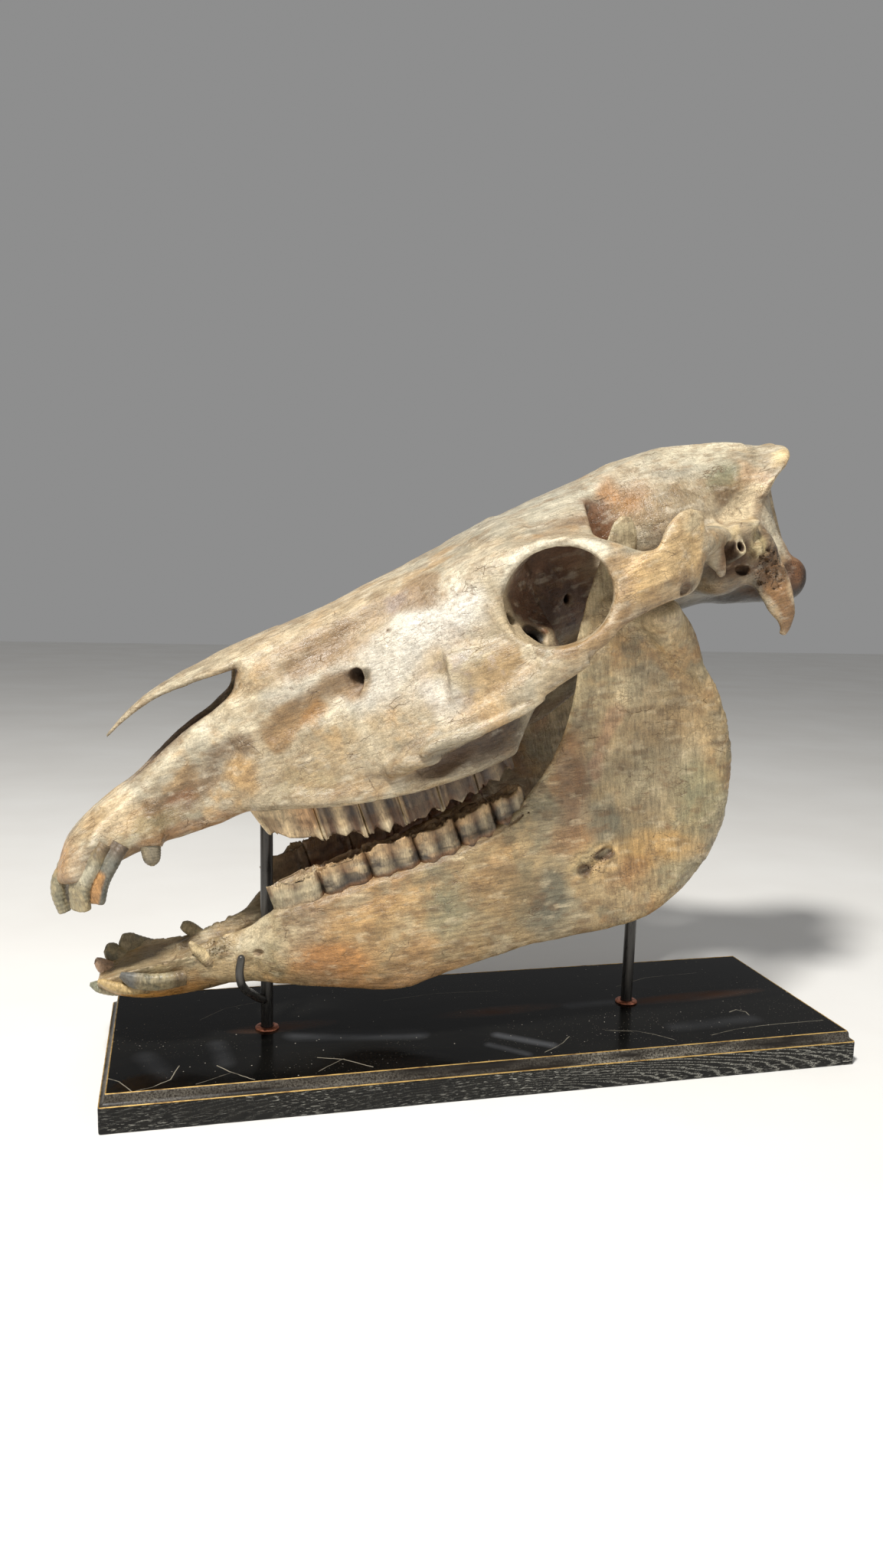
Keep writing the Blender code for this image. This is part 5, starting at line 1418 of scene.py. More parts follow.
def cranium_coat(p, far, near, edge):
    coat = Coat(p, (178, 162, 134))
    a, y, h = p[:, 0], np.abs(p[:, 1]), p[:, 2]
    coat.mottle(TAN, 46, 300, -0.15, 0.55, 0.75)
    coat.mottle(IVORY, 38, 310, 0.0, 0.6, 0.7)
    coat.mottle(GREY, 26, 320, 0.05, 0.6, 0.55)
    coat.mottle(OCHRE, 22, 330, 0.22, 0.7, 0.55)
    coat.mottle(SLATE, 17, 340, 0.34, 0.8, 0.4)
    # the roof of the nose and the forehead: tan in front, cool grey over the eyes
    roof = smoothstep(60, 80, h) * smoothstep(280, 220, a)
    coat.wash((196, 172, 136), roof * 0.5)
    coat.mottle(BROWN, 30, 350, 0.0, 0.6, 0.3, roof)
    coat.stains([
        ((188, 183, 164), (352, -22, 106), (52, 40, 22), 0.65),
        ((128, 122, 106), (318, -34, 98), (34, 14, 12), 0.35),
        ((216, 204, 178), (300, -62, 84), (30, 20, 16), 0.6),
        # the side of the face: pale and crackled, with tan and ochre clouds
        ((216, 209, 194), (217, -60, 46), (36, 24, 20), 0.85),
        ((204, 196, 180), (168, -40, 50), (18, 14, 14), 0.6),
        ((226, 220, 208), (262, -64, 66), (26, 20, 18), 0.85),
        ((190, 172, 138), (262, -78, 30), (34, 20, 18), 0.6),
        ((168, 134, 88), (286, -88, 28), (22, 14, 14), 0.65),
        ((188, 152, 104), (264, -84, 12), (24, 14, 8), 0.4),
    ])
    cheek = near_ball(coat.folded, (266, -76, 32), (30, 20, 18), 0.8)
    coat.mottle(LILAC, 10, 360, 0.1, 0.6, 0.5, cheek)
    coat.stains([
        ((180, 150, 106), (150, -30, 64), (20, 12, 10), 0.5),
        ((178, 158, 124), (175, -50, 6), (46, 20, 12), 0.5),
        ((150, 140, 110), (155, -46, -4), (26, 16, 9), 0.4),
        ((148, 120, 84), (190, -56, -13), (54, 16, 8), 0.6),
        # hollows
        ((150, 126, 96), (196, -44, 70), (44, 18, 12), 0.5),
        ((142, 116, 86), [(258, -57, 86), (243, -52, 82), (224, -46, 78), (202, -44, 72), (176, -40, 66)],
            5, 9, 0.8),
        ((168, 154, 150), (243, -51, 80), (8, 8, 6), 0.5),
        ((142, 110, 70), [(146, -39, 30), (164, -44, 35), (186, -50, 41), (202, -53, 45)], 6, 7, 0.85),
        ((168, 118, 60), (178, -47, 34), (10, 8, 6), 0.55),
        # painted shade: near-black inside the nerve's opening under the eye
        (HOLE_SHADE, (207, -50, 48), (6.5, 8, 6.5), 0.9, 0.6),
        ((112, 88, 62), [(124, -31, 28), (104, -26, 19), (86, -23, 12), (68, -21, 4)], 6, 9, 0.85),
        ((120, 76, 46), (84, -22, 10), (8, 7, 5), 0.5),
        ((196, 154, 96), (118, -30, 12), (12, 10, 8), 0.6),
        # the snout
        # painted highlight: a pale streak along the ridge of the rim beside the open nose
        ((222, 212, 186), [(26, -29, 0), (30, -25, 8), (44, -21, 14), (59, -19, 21), (77, -18, 30),
            (95, -20, 38), (112, -24, 47)], 3, 5, 0.85),
        ((206, 170, 118), (34, -18, 14), (26, 14, 10), 0.5),
        ((212, 160, 104), (4, -14, -4), (12, 18, 12), 0.7),
        ((150, 140, 106), (58, -22, -2), (24, 12, 10), 0.5),
        ((120, 84, 48), (36, -24, -13), (34, 16, 8), 0.7),
        ((150, 104, 62), (90, -20, -12), (34, 14, 6), 0.6),
        ((196, 190, 166), (100, -4, 80), (46, 20, 8), 0.55),
    ])
    # the nose's spine: pale above, grey-brown below
    spine = smoothstep(150, 120, a) * smoothstep(50, 56, h)
    coat.wash((126, 108, 84), spine * smoothstep(-0.1, 0.5, noise(p, (16, 6, 3), 365, 3)) * 0.6)
    coat.stains([
        # under the crest, painted shade: dark brown below its ledge; then along the arch
        ((66, 50, 36), (262, -68, -9), (48, 20, 12), 0.95),
        ((88, 70, 52), (268, -60, -21), (34, 16, 13), 0.75),
        ((226, 220, 208), (247, -76, 22), (16, 14, 12), 0.6),
        ((166, 132, 88), [(332, -100, 32), (352, -102, 40), (366, -102, 58)], 9, 10, 0.75),
        ((206, 172, 120), [(376, -104, 52), (390, -103, 60), (404, -100, 68), (418, -98, 78)], 8, 12,
            0.8),
        ((112, 82, 52), [(342, -100, 26), (358, -105, 36), (376, -106, 42), (396, -103, 48)], 4, 6, 0.5),
        ((78, 56, 38), (400, -102, 42), (9, 10, 5), 0.8),
        ((224, 208, 172), (416, -97, 80), (9, 12, 6), 0.6),
        ((222, 208, 178), [(296, -92, 44), (304, -94, 32), (322, -98, 27), (344, -100, 33),
            (360, -102, 50)], 3, 4, 0.6),
        ((236, 226, 202), [(292, -88, 62), (300, -86, 78), (318, -88, 90), (338, -92, 88),
            (354, -98, 76)], 4, 6, 0.8),
        # the temple and the braincase
        ((164, 112, 56), (404, -32, 103), (17, 18, 11), 0.85),
        ((168, 130, 86), (408, -36, 92), (16, 14, 10), 0.6),
        ((216, 190, 150), (404, -34, 84), (16, 12, 9), 0.5),
        ((192, 184, 162), (446, -20, 112), (44, 22, 14), 0.75),
        ((136, 130, 116), (440, -28, 104), (14, 10, 7), 0.45),
        ((226, 214, 184), (486, -10, 116), (36, 20, 12), 0.6),
        ((112, 112, 84), (478, -32, 92), (14, 18, 14), 0.7),
        ((112, 88, 62), (473, -43, 86), (10, 12, 9), 0.8),
        ((132, 114, 86), (436, -46, 84), (26, 18, 17), 0.7),
        ((182, 150, 114), (496, -40, 86), (13, 15, 16), 0.8),
        ((218, 198, 162), [(494, -42, 76), (482, -46, 69), (468, -50, 66), (456, -54, 66)], 7, 6, 0.9),
        # painted shadow: a dark line below the overhanging crest
        ((92, 70, 44), [(520, -38, 76), (508, -45, 67), (498, -50, 59), (484, -57, 52), (472, -60, 50)],
            3, 4, 0.7),
        ((230, 206, 160), [(534, -22, 95), (519, -35, 88), (505, -43, 76), (486, -52, 61), (468, -58, 58),
            (447, -69, 60)], 2.5, 4, 0.85),
        ((196, 166, 116), [(534, 0, 98), (533, -14, 96), (526, -26, 92)], 3, 4, 0.5),
        ((96, 70, 42), (470, -56, 36), (26, 16, 20), 0.85),
        ((206, 188, 140), (477, -56, 47), (7, 10, 13), 0.85),
        ((206, 190, 150), (461, -66, 49), (7, 8, 7), 0.75),
        # painted shade: near-black inside the ear's opening
        ((34, 22, 14), (450, -60, 43), (8, 14, 13), 0.95),
        ((128, 90, 52), (439, -72, 47), (8, 12, 16), 0.85),
        ((84, 58, 34), (487, -50, 28), (12, 12, 12), 0.9),
        ((206, 186, 140), [(478, -54, 18), (486, -54, 14), (494, -50, 20)], 1.5, 2, 0.7),
        ((136, 98, 60), [(486, -46, 18), (490, -47, 4), (490, -45, -14)], 7, 6, 0.9),
        ((150, 92, 44), (510, -28, 14), (18, 18, 18), 0.9),
        # painted shade: near-black inside the hole beside the condyle
        ((36, 22, 14), (506, -41, 21), (6, 8, 9), 0.95),
    ])
    # painted shade: the underside, the insides of the eye sockets and the hollows behind them, the palate and
    # the nose's cavity darkened brown, with mottling
    under = smoothstep(34, 12, h) * smoothstep(322, 372, a) * smoothstep(70, 50, y)
    under *= 1 - smoothstep(474, 482, a) * smoothstep(34, 40, y) * smoothstep(24, 16, h)
    coat.wash((22, 15, 10), under * 0.95)
    inside = near_ball(coat.folded, (338, -58, 60), (40, 30, 34), 0.5) * smoothstep(92, 78, y)
    inside = np.maximum(inside, near_ball(coat.folded, (354, -42, 46), (26, 24, 22), 0.5))
    coat.wash((96, 58, 36), inside * 0.9)
    coat.mottle((60, 38, 26), 14, 370, 0.0, 0.5, 0.6, inside)
    coat.mottle((150, 122, 100), 12, 380, 0.25, 0.7, 0.5, inside)
    mouth = near_ball(coat.folded, (366, -50, 84), (28, 18, 24), 0.6)
    coat.wash((112, 70, 40), mouth * smoothstep(104, 92, h) * 0.8)
    coat.patch((116, 72, 40), (378, -42, 90), (20, 14, 13), 0.85)
    palate = smoothstep(-8, -14, h) * smoothstep(40, 28, y) * smoothstep(110, 130, a)
    coat.wash((112, 80, 54), palate * 0.7)
    coat.wash((92, 62, 42), near_ball(p, (150, 0, 42), (110, 21, 30), 0.3) * 0.75)
    # hollows and creases darkened brown as dirt and as painted shade, the deepest hollows painted near-black
    # as shade; edges are rubbed pale
    coat.wash((104, 76, 50), smoothstep(0.08, 0.5, near) * 0.55)
    coat.wash((92, 66, 44), smoothstep(0.10, 0.62, far) * 0.7)
    coat.wash((42, 28, 20), smoothstep(0.5, 0.95, far) * 0.75)
    coat.wash((222, 208, 176), smoothstep(0.15, 0.6, edge) * 0.18 * smoothstep(0.4, 0.15, far)
              * smoothstep(500, 460, a))
    open_face = smoothstep(0.45, 0.2, far) * (1 - under)
    open_face *= 1 - 0.7 * near_ball(coat.folded, (215, -60, 48), (64, 34, 40), 0.8)
    coat.mottle((122, 96, 66), (16, 9, 7), 385, 0.15, 0.75, 0.4, open_face)
    coat.mottle((136, 106, 72), (9, 4, 3.5), 390, 0.2, 0.7, 0.4, open_face)
    coat.mottle((226, 215, 192), (10, 4, 3.5), 395, 0.2, 0.8, 0.3, open_face)
    coat.stains([
        # the floor of the eye socket painted pale where light falls on it, and the hole where it is broken
        # painted near-black as shade
        ((196, 176, 142), [(300, -82, 54), (306, -77, 45), (316, -73, 40), (329, -71, 38), (344, -73, 40),
            (352, -66, 46)], 8, 7, 0.85),
        ((144, 98, 66), [(322, -66, 43), (330, -64, 42), (336, -66, 41)], 2, 3, 0.8),
        ((20, 13, 9), (315, -66, 38), (7, 9, 9), 0.95, 0.5),
    ])
    return coat


def mandible_coat(p, far, near, edge):
    coat = Coat(p, (176, 152, 112))
    a, y = p[:, 0], np.abs(p[:, 1])
    coat.mottle((158, 146, 118), 34, 400, -0.1, 0.5, 0.75)
    coat.mottle(OCHRE, 30, 410, 0.05, 0.55, 0.6)
    coat.mottle((124, 118, 94), 20, 420, 0.15, 0.6, 0.6)
    coat.mottle(ORANGE, 17, 430, 0.3, 0.75, 0.5)
    coat.mottle((212, 196, 160), 22, 440, 0.2, 0.7, 0.5)
    coat.stains([
        # the body
        ((196, 136, 72), (152, -46, 6), (24, 14, 14), 0.75),
        ((196, 160, 108), (176, -50, 24), (30, 14, 10), 0.5),
        ((198, 148, 90), (206, -54, 0), (16, 12, 12), 0.55),
        ((126, 128, 104), (232, -56, 22), (16, 12, 18), 0.5),
        ((172, 128, 78), (262, -58, 40), (14, 12, 12), 0.55),
        ((206, 188, 148), (118, -32, 22), (22, 14, 12), 0.5),
        ((112, 112, 88), (112, -32, 8), (14, 10, 7), 0.5),
        ((206, 156, 98), (186, -48, -18), (60, 14, 7), 0.6),
        ((132, 114, 82), (272, -58, 26), (30, 14, 20), 0.55),
        # the upright part
        ((206, 180, 136), (372, -68, 112), (34, 16, 44), 0.6),
        ((118, 104, 78), (358, -64, 62), (24, 14, 18), 0.5),
        ((108, 106, 90), (300, -58, 20), (13, 10, 24), 0.8),
        ((112, 110, 92), (339, -62, 62), (12, 10, 17), 0.75),
        ((118, 116, 96), (330, -64, 150), (13, 10, 22), 0.5),
        ((178, 130, 82), (318, -62, 54), (15, 10, 13), 0.55),
        # painted shadow: dark brown on the upright part's front, where the cheek's shadow falls
        ((134, 92, 60), (318, -62, 96), (13, 12, 34), 0.6),
        ((168, 128, 98), [(336, -65, 100), (344, -66, 122), (350, -68, 140)], 3, 6, 0.65),
        ((150, 144, 118), (378, -66, 96), (26, 12, 24), 0.55),
        ((186, 152, 104), (392, -70, 130), (20, 12, 24), 0.5),
        ((190, 148, 86), (374, -60, 42), (30, 12, 12), 0.65),
        ((150, 100, 54), (352, -58, 30), (20, 12, 10), 0.55),
        ((172, 158, 122), (384, -60, 18), (22, 12, 12), 0.5),
        ((132, 134, 104), (404, -64, 74), (18, 12, 24), 0.5),
        ((206, 190, 156), (374, -90, 196), (16, 22, 10), 0.6),
        ((166, 156, 128), (358, -76, 236), (12, 8, 18), 0.7),
        ((214, 200, 160), [(346, -74, 232), (352, -75, 248), (362, -75, 256), (368, -75, 246)], 1.2, 2.5,
            0.7),
        # the chin: a smooth tan spoon, ochre below, torn pale edges at the side
        ((150, 132, 100), (48, 0, 12), (30, 24, 9), 0.8),
        ((206, 146, 74), (40, -14, -10), (40, 24, 9), 0.85),
        ((226, 168, 88), (24, -16, -5), (16, 16, 5), 0.7),
        ((214, 184, 122), (60, -29, 9), (24, 5, 6), 0.7),
        ((104, 92, 66), (86, -22, 20), (10, 10, 9), 0.6),
        ((206, 196, 168), (104, -26, 22), (16, 10, 12), 0.55),
    ])
    hole = np.maximum(near_ball(p, (337.5, -60, 43.5), (7.6, 9, 4.6), 0.4),
                      near_ball(p, (324, -59, 34.5), (5.4, 9, 5.0), 0.4))
    ring = near_ball(p, JAW_HOLE, (19, 9, 14), 0.5)
    coat.wash((214, 186, 134), ring * 0.45)
    # painted shade: dark brown inside the hole in the angle
    coat.wash((72, 56, 40), hole * 0.9)
    inner = smoothstep(56, 44, y) * smoothstep(110, 150, a)
    coat.wash((128, 88, 58), inner * 0.5)
    # hollows and creases darkened brown as dirt and as painted shade; edges rubbed pale
    coat.wash((110, 80, 52), smoothstep(0.08, 0.5, near) * 0.55)
    coat.wash((96, 66, 42), smoothstep(0.14, 0.7, far) * 0.65)
    coat.wash((224, 206, 166), smoothstep(0.12, 0.55, edge) * 0.4 * smoothstep(0.5, 0.2, far))
    coat.mottle((104, 84, 58), (17, 10, 9), 445, 0.1, 0.7, 0.45)
    coat.mottle((120, 90, 58), (10, 4, 4), 450, 0.2, 0.7, 0.45)
    coat.mottle((224, 206, 170), (11, 4, 3.6), 460, 0.2, 0.8, 0.35)
    return coat


def cranium_lumps(p, folded):
    """How far the surface sinks at each point: slow swells, pits, and broken spongy bone."""
    broken = near_ball(folded, BROKEN_TEMPLE, (16, 12, 15), 0.6)
    pitted = near_ball(folded, SCARRED_CREST, (16, 12, 18), 0.6)
    holes = np.clip(noise(p, 3.4, 81, 2) - 0.2, 0, 1)
    return (0.5 * noise(p, 34, 71, 3) + 0.14 * noise(p, 9, 75, 2)
            + broken * (4.2 * holes + 0.5 * noise(p, 5, 83, 2)) + pitted * 0.9 * holes)


def mandible_lumps(p, folded):
    """How far the lower jaw's surface sinks: as above, and along the scar of the chewing muscle."""
    torn = near_ball(folded, TORN_SOCKET, (14, 10, 12), 0.7)
    border = near_line(folded, [(404, -58, 24), (424, -60, 60), (426, -65, 95), (414, -74, 140)], 5, 8)
    hole = near_ball(p, JAW_HOLE, (17, 8, 14), 0.4)
    ragged = noise(p, 4.2, 181, 3)
    body = smoothstep(330, 280, p[:, 0]) * smoothstep(90, 120, p[:, 0])
    waves = noise(p, (15.0, 4.0, 3.2), 185, 3) * body
    outer = smoothstep(60, 66, np.abs(p[:, 1]) + 0.08 * (110 - p[:, 2]))
    muscle = 1.5 * near_ball(folded, (368, -72, 104), (30, 30, 58), 1.0) * outer
    return (muscle + 0.45 * noise(p, 30, 171, 3) + 0.14 * noise(p, 8, 175, 2) + torn * 1.5 * ragged
            + border * 0.5 * ragged + hole * 1.1 * ragged + 0.22 * waves)


def cranium_grain(p, folded):
    """How far the fibres stand upright at each point, and how open the bone's pores are."""
    upright = 0.15 + 0.7 * near_ball(folded, (420, -40, 90), (50, 40, 30), 0.8)
    porous = np.maximum(near_ball(folded, BROKEN_TEMPLE, (13, 12, 13), 0.5),
                        0.25 * near_ball(folded, SCARRED_CREST, (12, 12, 16), 0.7))
    return upright, np.maximum(porous, 0.6 * near_ball(folded, (514, -40, 20), (8, 8, 10), 0.6))


def mandible_grain(p, folded):
    """As above, for the lower jaw: the fibres turn upright towards its joint."""
    porous = np.maximum(0.7 * near_ball(folded, TORN_SOCKET, (10, 10, 9), 0.6),
                        0.8 * near_ball(p, JAW_HOLE, (10, 8, 8), 0.5))
    return smoothstep(300, 350, p[:, 0]), porous


def bone_piece(name, field, frame_of, steps, seed, material):
    """Meshes a field, roughens and paints it by the functions in `steps`, and makes the object."""
    paint, lumps, grain = steps
    points, quads = field.skin()
    quads = quads[:, ::-1]
    points = relax(points, quads, 2)
    out = directions(points, quads)
    if np.mean(field.at(points[::50] + out[::50] * 2)) < 0:
        quads, out = quads[:, ::-1], -out
    far, near, edge = exposure(field, points, quads, out)
    sink = lumps(points, left_side(points)) + 0.08 * noise(points, 4.0, seed, 3)
    points = points - out * sink[:, None]
    coat = paint(points, far, near + 0.3 * np.clip(sink - 0.7, 0, 1.5), edge)
    upright, porous = grain(points, coat.folded)
    worn = np.clip(0.9 * far + 0.5 * near + 0.35 * noise(points, 18, seed + 11, 3), 0, 1)
    return mesh_object(name, (points, quads), material, *frame_of, coat.colour,
                       {"turn": upright, "porous": porous, "worn": worn})


def cheek_coat(points, folds, rises, upper, side):
    coat = Coat(points, (116, 98, 78) if upper else (124, 112, 92))
    seed = 600 + 50 * upper + 10 * side
    a, y = points[:, 0], np.abs(points[:, 1])
    if upper:
        coat.mottle((166, 136, 96), (5, 5, 16), seed, -0.1, 0.5, 0.6)
        coat.mottle((84, 66, 52), (4, 4, 14), seed + 3, 0.1, 0.6, 0.6)
        coat.wash((204, 178, 136), smoothstep(1.1, 0.2, folds) * 0.75)
        coat.wash((46, 34, 26), smoothstep(1.2, 2.5, folds) * 0.85)
        coat.wash((222, 196, 154), smoothstep(156, 150, a) * 0.8)
        coat.wash((186, 124, 70), near_ball(points, (150, -44, -20), (7, 9, 12), 0.6) * 0.45)
        coat.wash((78, 62, 50), smoothstep(205, 250, a) * 0.6)
        coat.wash((216, 200, 166), smoothstep(15.5, 18.5, rises) * smoothstep(1.5, 0.4, folds) * 0.6)
    else:
        coat.mottle((172, 152, 118), (9, 9, 5), seed, -0.1, 0.5, 0.65)
        coat.mottle((92, 90, 84), (8, 8, 4), seed + 3, 0.1, 0.6, 0.6)
        coat.mottle((150, 104, 62), (8, 8, 5), seed + 5, 0.25, 0.7, 0.4)
        coat.mottle((58, 48, 40), (12, 12, 2.6), seed + 6, 0.05, 0.5, 0.8)
        # painted highlight on the middles of the lobes, and painted shade darkening the folds between them
        coat.wash((204, 184, 148), smoothstep(0.9, 0.2, folds) * smoothstep(4, 9, rises) * 0.45)
        coat.wash((40, 32, 26), smoothstep(1.2, 2.6, folds) * 0.9)
        coat.wash((140, 96, 58), smoothstep(4.5, 1.0, rises) * 0.6)
        coat.wash((194, 158, 112), smoothstep(11.0, 16.0, rises) * 0.6)
        coat.wash((200, 186, 152), smoothstep(156, 152, a) * 0.45)
    top = smoothstep(8, 12, rises)
    coat.wash((104, 74, 50), top * smoothstep(1.2, 2.2, folds) * 0.6)
    coat.wash((44, 32, 24), smoothstep(1.2, -0.6, rises) * 0.85)
    inner = smoothstep(0, -8, y - (UPPER_ROW if upper else LOWER_ROW)(a)[:, 0])
    coat.wash((118, 70, 38) if side else (96, 62, 40), inner * 0.6)
    gloss = np.clip(0.3 + 0.4 * noise(points, 6, seed + 9, 3) + 0.6 * top * (folds > 1), 0, 1)
    return coat.colour, {"worn": gloss if upper else gloss * 0.6}


def front_coat(points, marks, shares, numbers, upper, side):
    coat = Coat(points, (158, 146, 116))
    seed = 700 + 50 * upper + 10 * side
    coat.mottle((178, 160, 122), (4, 4, 12), seed, -0.1, 0.5, 0.7)
    coat.mottle((112, 112, 96), (3.5, 3.5, 12), seed + 3, 0.05, 0.6, 0.6)
    if upper:
        neck = smoothstep(0.2, 0.35, shares) * smoothstep(0.7, 0.5, shares)
        coat.wash((190, 184, 162), (numbers == 1) * neck * 0.7)
        coat.wash((92, 98, 98), (numbers == 2) * 0.7)
        stripe = near_line(coat.folded, [(24, -32, -14), (17, -31, -24), (11, -29, -33)], 3.0, 2.0)
        coat.wash((190, 140, 84), (numbers == 2) * smoothstep(0.45, 0.55, shares) * stripe * 0.85)
        coat.wash((122, 112, 94), (numbers == 3) * 0.8)
        coat.wash((176, 122, 72), (numbers == 0) * smoothstep(0.45, 0.25, shares) * 0.5)
        gum = near_line(coat.folded, [(30, -30, -2), (20, -32, -8), (6, -26, -13), (-4, -14, -15)], 1.0, 2.2)
        coat.wash((78, 66, 50), (numbers < 3) * gum * 0.7)
    else:
        coat.wash((84, 88, 92), (numbers == 2) * smoothstep(0.6, 0.85, shares) * (0.2 if side else 0.8))
        coat.wash((196, 166, 112), (numbers == 1) * (0.0 if side else 0.8))
        coat.wash((126, 132, 112), (numbers == 0) * smoothstep(0.7, 0.9, shares) * 0.7)
        coat.wash((206, 160, 128), (numbers == 0) * (0.6 if side else 0.0))
        coat.wash((206, 184, 142), (numbers == 3) * (0.5 if side else 0.85))
    coat.wash((70, 54, 40), smoothstep(0.7, 1.6, marks) * (0.6 if upper else 0.2))
    coat.wash((96, 70, 48), smoothstep(0.32, 0.1, shares) * 0.6)
    return coat.colour, {"worn": np.clip(0.3 + 0.5 * noise(points, 5, seed + 9, 3), 0, 1)}


# ---- the stand --------------------------------------------------------------------------------------------
BASE_HALF = (250.0, 82.5)
BASE_PROFILE = [
    # how far in from the edge, height
    (1.6, 0.0), (0.9, 0.0), (0.5, 0.12), (0.2, 0.4), (0.02, 0.9), (0.0, 1.6), (0.0, 6.0), (0.0, 11.0),
    (0.0, 15.2), (0.05, 16.0), (0.3, 16.6), (0.8, 16.95), (1.4, 17.3), (2.0, 17.7), (2.6, 18.25),
    (3.0, 19.0), (3.2, 19.8), (3.3, 20.8), (3.4, 21.7), (3.55, 22.4), (3.8, 22.85), (4.15, 23.1),
    (4.6, 23.2), (5.2, 23.2), (6.0, 23.2), (9.0, 23.2),
]
SIDE, MOULDING, TOP = 0, 1, 2        # the base's finishes, in the order of its materials
GOLD_LINES = [
    # how far in from the edge, height, radius
    (0.42, 16.62, 0.40), (4.35, 23.1, 0.38),
]


def rounded_rectangle(inset, radius=1.4, along=(180, 60), corner=6):
    """Points round the base at an inset from its edge, as many at every inset."""
    hx, hy = BASE_HALF[0] - inset, BASE_HALF[1] - inset
    r = max(radius - 0.25 * inset, 0.4)
    points = []
    for k, (sx, sy) in enumerate(((1, 1), (-1, 1), (-1, -1), (1, -1))):
        turn = np.linspace(0, math.pi / 2, corner) + k * math.pi / 2
        points.append(np.c_[sx * (hx - r) + r * np.cos(turn), sy * (hy - r) + r * np.sin(turn)])
    rows = []
    for k in range(4):
        rows.append(points[k])
        nxt = points[(k + 1) % 4][0]
        t = np.linspace(0, 1, along[k % 2] + 1)[1:-1, None]
        rows.append(points[k][-1] * (1 - t) + nxt * t)
    return np.vstack(rows)


def stand_base(materials):
    """The base block as one closed mesh: side, moulding and top each with its own finish."""
    rings = []
    for inset, z in BASE_PROFILE:
        flat = rounded_rectangle(inset)
        p = np.c_[flat, np.full(len(flat), z)]
        wear = 0.12 * noise(p, (14, 14, 5), 800, 3) + 0.05 * noise(p, 2.5, 805, 2)
        push = np.sign(p[:, :2]) * (np.abs(p[:, :2]) > np.array(BASE_HALF) - inset - 0.8)
        if 0.3 < z < 23.0:
            p[:, :2] -= push * np.clip(wear, -0.05, 0.25)[:, None]
        rings.append(p)
    rings = np.array(rings)
    count, around = rings.shape[:2]
    faces, kinds = ring_quads(count, around).tolist(), []
    for (inset, low), (_, high) in zip(BASE_PROFILE, BASE_PROFILE[1:]):
        middle = (low + high) / 2
        kinds += [TOP if inset > 4 and middle > 20 else MOULDING if middle > 16.7 else SIDE] * around
    faces.append((np.arange(around) + (count - 1) * around).tolist())
    kinds.append(TOP)
    faces.append(np.arange(around)[::-1].tolist())
    kinds.append(SIDE)
    mesh = bpy.data.meshes.new("base_block")
    mesh.from_pydata((rings.reshape(-1, 3) * MM).tolist(), [], faces)
    for material in materials:
        mesh.materials.append(material)
    mesh.polygons.foreach_set("material_index", kinds)
    mesh.shade_smooth()
    return placed("base_block", mesh)


def gold_lines(material):
    """The two thin gilded lines that run round the moulding."""
    tubes = []
    for inset, z, radius in GOLD_LINES:
        flat = rounded_rectangle(inset)
        centre = np.c_[flat, np.full(len(flat), z)]
        ahead = np.roll(centre, -1, 0) - np.roll(centre, 1, 0)
        ahead /= np.linalg.norm(ahead, axis=1)[:, None]
        out = np.cross(ahead, (0, 0, 1))
        worn = 1 + 0.25 * noise(centre, 7, 820, 3)
        tube = np.stack([centre + (out * c + np.array((0, 0, s))) * (radius * worn)[:, None]
                         for c, s in superellipse(8)], 1)
        tubes.append((tube.reshape(-1, 3), ring_quads(*tube.shape[:2], closed=True)))
    return mesh_object("gold_lines", joined(tubes), material)


def turned_rings(x, profile, around=64):
    """Rings round a vertical axis, through rows of (radius, height)."""
    circle = superellipse(around)
    return np.array([np.c_[x + circle[:, 0] * r, circle[:, 1] * r, np.full(around, z)] for r, z in profile])


HOOK = [
    # x, y, z and radius along the hook, from the front rod to its tip beside the jaw
    (-147.5, -1, 43.5, 2.9), (-150, -5, 46, 2.75), (-154, -12, 50.5, 2.7), (-158, -22, 57, 2.7),
    (-162, -31, 63, 2.7), (-165.4, -36.8, 70.5, 2.7), (-166.3, -38, 78, 2.65),
    (-165.4, -37.7, 85, 2.5), (-165.1, -37.6, 87.2, 2.2), (-165, -37.5, 88.4, 1.5),
    (-165, -37.5, 88.9, 0.5),
]


def rod(x, top, hook):
    """A steel rod; the front one carries the hook that holds the lower jaw."""
    r = ROD_RADIUS
    heights = np.linspace(24.6, top - 1.6, 60)
    profile = [(r - 0.5, 23.5), (r - 0.12, 23.7), (r, 24.1), *[(r, z) for z in heights], (r, top - 1.0),
               (r - 0.25, top - 0.4), (r - 0.8, top)]
    shapes = [loft(turned_rings(x, profile))]
    if hook:
        rows = [(*row, row[3]) for row in HOOK]
        shapes.append(bar(rows, steps=110, around=28, up=(0.4, 1, 0)))
    return joined(shapes)


def collar(x):
    """The copper ring round a rod's foot, turned from a closed profile of (radius, height)."""
    rings = turned_rings(x, [(4.25, 23.25), (7.6, 23.25), (7.95, 23.4), (8.0, 23.8), (7.9, 24.3),
                             (7.5, 24.75), (6.9, 24.95), (6.5, 25.0), (6.2, 25.2), (5.4, 25.3),
                             (4.6, 25.3), (4.25, 25.1)])
    return rings.reshape(-1, 3), ring_quads(*rings.shape[:2], closed=True)


# ---- the studio -------------------------------------------------------------------------------------------
SENSOR_MM, FOCAL_PIXELS, PHOTO_HEIGHT = 36.0, 1369.22, 2048
CAMERA_PLACE = (-0.2015, -0.6742, 0.3108)
CAMERA_YAW, CAMERA_PITCH, CAMERA_ROLL = 14.3167, 9.99, 1.5067
WORLD_LIGHT = 0.27
LIGHTS = [
    # name, place, size, power, colour
    ("key", (-0.7, -0.85, 1.85), 0.28, 55, (1, 0.98, 0.94)),
    ("fill", (1.3, -1.2, 0.8), 1.2, 3, (1, 1, 1)),
]
LIT_SPOT = Vector((0, 0, 0.2))
FLOOR_HALF = 6


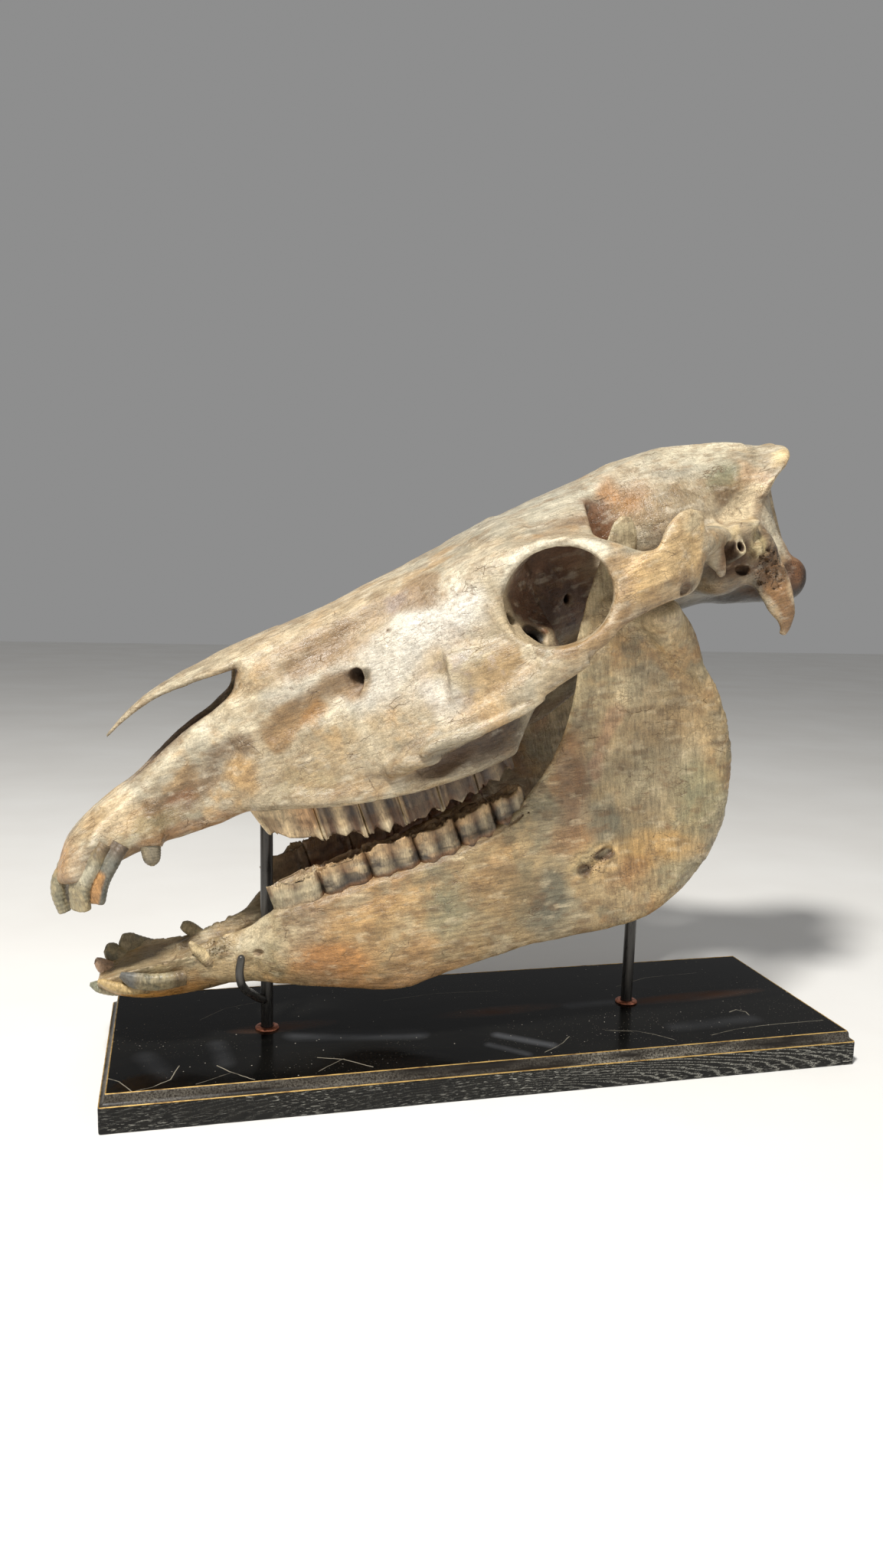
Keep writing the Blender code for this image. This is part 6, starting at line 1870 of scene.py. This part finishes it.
def camera():
    data = bpy.data.cameras.new("Camera")
    data.sensor_fit, data.sensor_width = "AUTO", SENSOR_MM
    data.lens = SENSOR_MM * FOCAL_PIXELS / PHOTO_HEIGHT
    data.clip_start, data.clip_end = 0.01, 50.0
    made = placed("Camera", data)
    yaw, pitch, roll = (math.radians(a) for a in (CAMERA_YAW, CAMERA_PITCH, CAMERA_ROLL))
    forward = Vector((math.sin(yaw) * math.cos(pitch), math.cos(yaw) * math.cos(pitch), -math.sin(pitch)))
    right = Vector((math.cos(yaw), -math.sin(yaw), 0))
    up = right.cross(forward)
    across = math.cos(roll) * right + math.sin(roll) * up
    rise = -math.sin(roll) * right + math.cos(roll) * up
    turn = Matrix((across, rise, -forward)).transposed().to_4x4()
    made.matrix_world = Matrix.Translation(CAMERA_PLACE) @ turn
    bpy.context.scene.camera = made


def studio():
    scene = bpy.context.scene
    scene.view_settings.view_transform = "Standard"
    scene.view_settings.look = "None"
    world = bpy.data.worlds.new("studio")
    scene.world = world
    world.use_nodes = True
    background = world.node_tree.nodes["Background"]
    background.inputs["Color"].default_value = (1, 1, 1, 1)
    background.inputs["Strength"].default_value = WORLD_LIGHT
    for name, place, size, power, colour in LIGHTS:
        data = bpy.data.lights.new(name, "AREA")
        data.shape, data.size, data.energy, data.color = "DISK", size, power, colour
        made = placed(name, data)
        made.location = place
        made.rotation_euler = (LIT_SPOT - Vector(place)).to_track_quat("-Z", "Y").to_euler()
    floor = bpy.data.meshes.new("floor")
    corners = [(x * FLOOR_HALF, y * FLOOR_HALF, 0) for x, y in ((-1, -1), (1, -1), (1, 1), (-1, 1))]
    floor.from_pydata(corners, [], [(0, 1, 2, 3)])
    floor.materials.append(floor_material())
    placed("floor", floor)


def bones(material):
    """Both bones, as rows of (piece, slot)."""
    cranium_solid = cranium_field()
    for x, low, top in ((FRONT_ROD_X, 100, FRONT_ROD_TOP), (REAR_ROD_X, 220, REAR_ROD_TOP)):
        cranium_solid.cut(rod_socket(x, low, top + 0.4, ROD_RADIUS + 0.5), 0)
    cranium = bone_piece("cranium_bone", cranium_solid, CRANIUM_FRAME,
                         (cranium_coat, cranium_lumps, cranium_grain), 500, material)
    mandible = bone_piece("mandible_bone", mandible_field(), MANDIBLE_FRAME,
                          (mandible_coat, mandible_lumps, mandible_grain), 520, material)
    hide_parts("cranium")
    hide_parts("mandible")
    return [(cranium, "bone"), (mandible, "bone")]


def teeth(material):
    """The cheek teeth and the front teeth of each side and jaw, as rows of (piece, slot)."""
    pieces = []
    for upper, frame_of, jaw in ((True, CRANIUM_FRAME, "upper"), (False, MANDIBLE_FRAME, "lower")):
        for side, label in ((0, "left"), (1, "right")):
            points, faces, folds, rises = cheek_teeth(upper, side)
            if side:
                points, faces = mirrored((points, faces))
            look = cheek_coat(points, folds, rises, upper, side)
            cheek = mesh_object(f"{jaw}_cheek_teeth_{label}", (points, faces), material, *frame_of, *look)
            points, faces, marks, shares, numbers = front_teeth(upper, side)
            look = front_coat(points, marks, shares, numbers, upper, side)
            front = mesh_object(f"{jaw}_front_teeth_{label}", (points, faces), material, *frame_of, *look)
            pieces += [(cheek, "bone"), (front, "bone")]
    return pieces


def stand():
    """The rods, collars and base block, as rows of (piece, slot)."""
    steel, ring = black_steel(), copper()
    rows = [
        ("front_rod", "steel", rod(FRONT_ROD_X, FRONT_ROD_TOP, hook=True), steel, "black_steel"),
        ("rear_rod", "steel", rod(REAR_ROD_X, REAR_ROD_TOP, hook=False), steel, "black_steel"),
        ("front_collar", "ring", collar(FRONT_ROD_X), ring, "copper"),
        ("rear_collar", "ring", collar(REAR_ROD_X), ring, "copper"),
    ]
    pieces = []
    for node, what, shape, material, slot in rows:
        made = mesh_object(f"{node}_{what}", shape, material)
        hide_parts(node)
        pieces.append((made, slot))
    block = stand_base((grained_side(), lacquer_edge(), lacquer_top()))
    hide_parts("stand_base")
    return [*pieces, (block, "black_lacquer")]


def main():
    bone, tooth = bone_material(), tooth_material()
    pieces = [*bones(bone), *teeth(tooth), *stand()]
    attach(gold_lines(gold_line()), "root")
    for piece, slot in pieces:
        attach(piece, "root")
    camera()
    studio()


main()
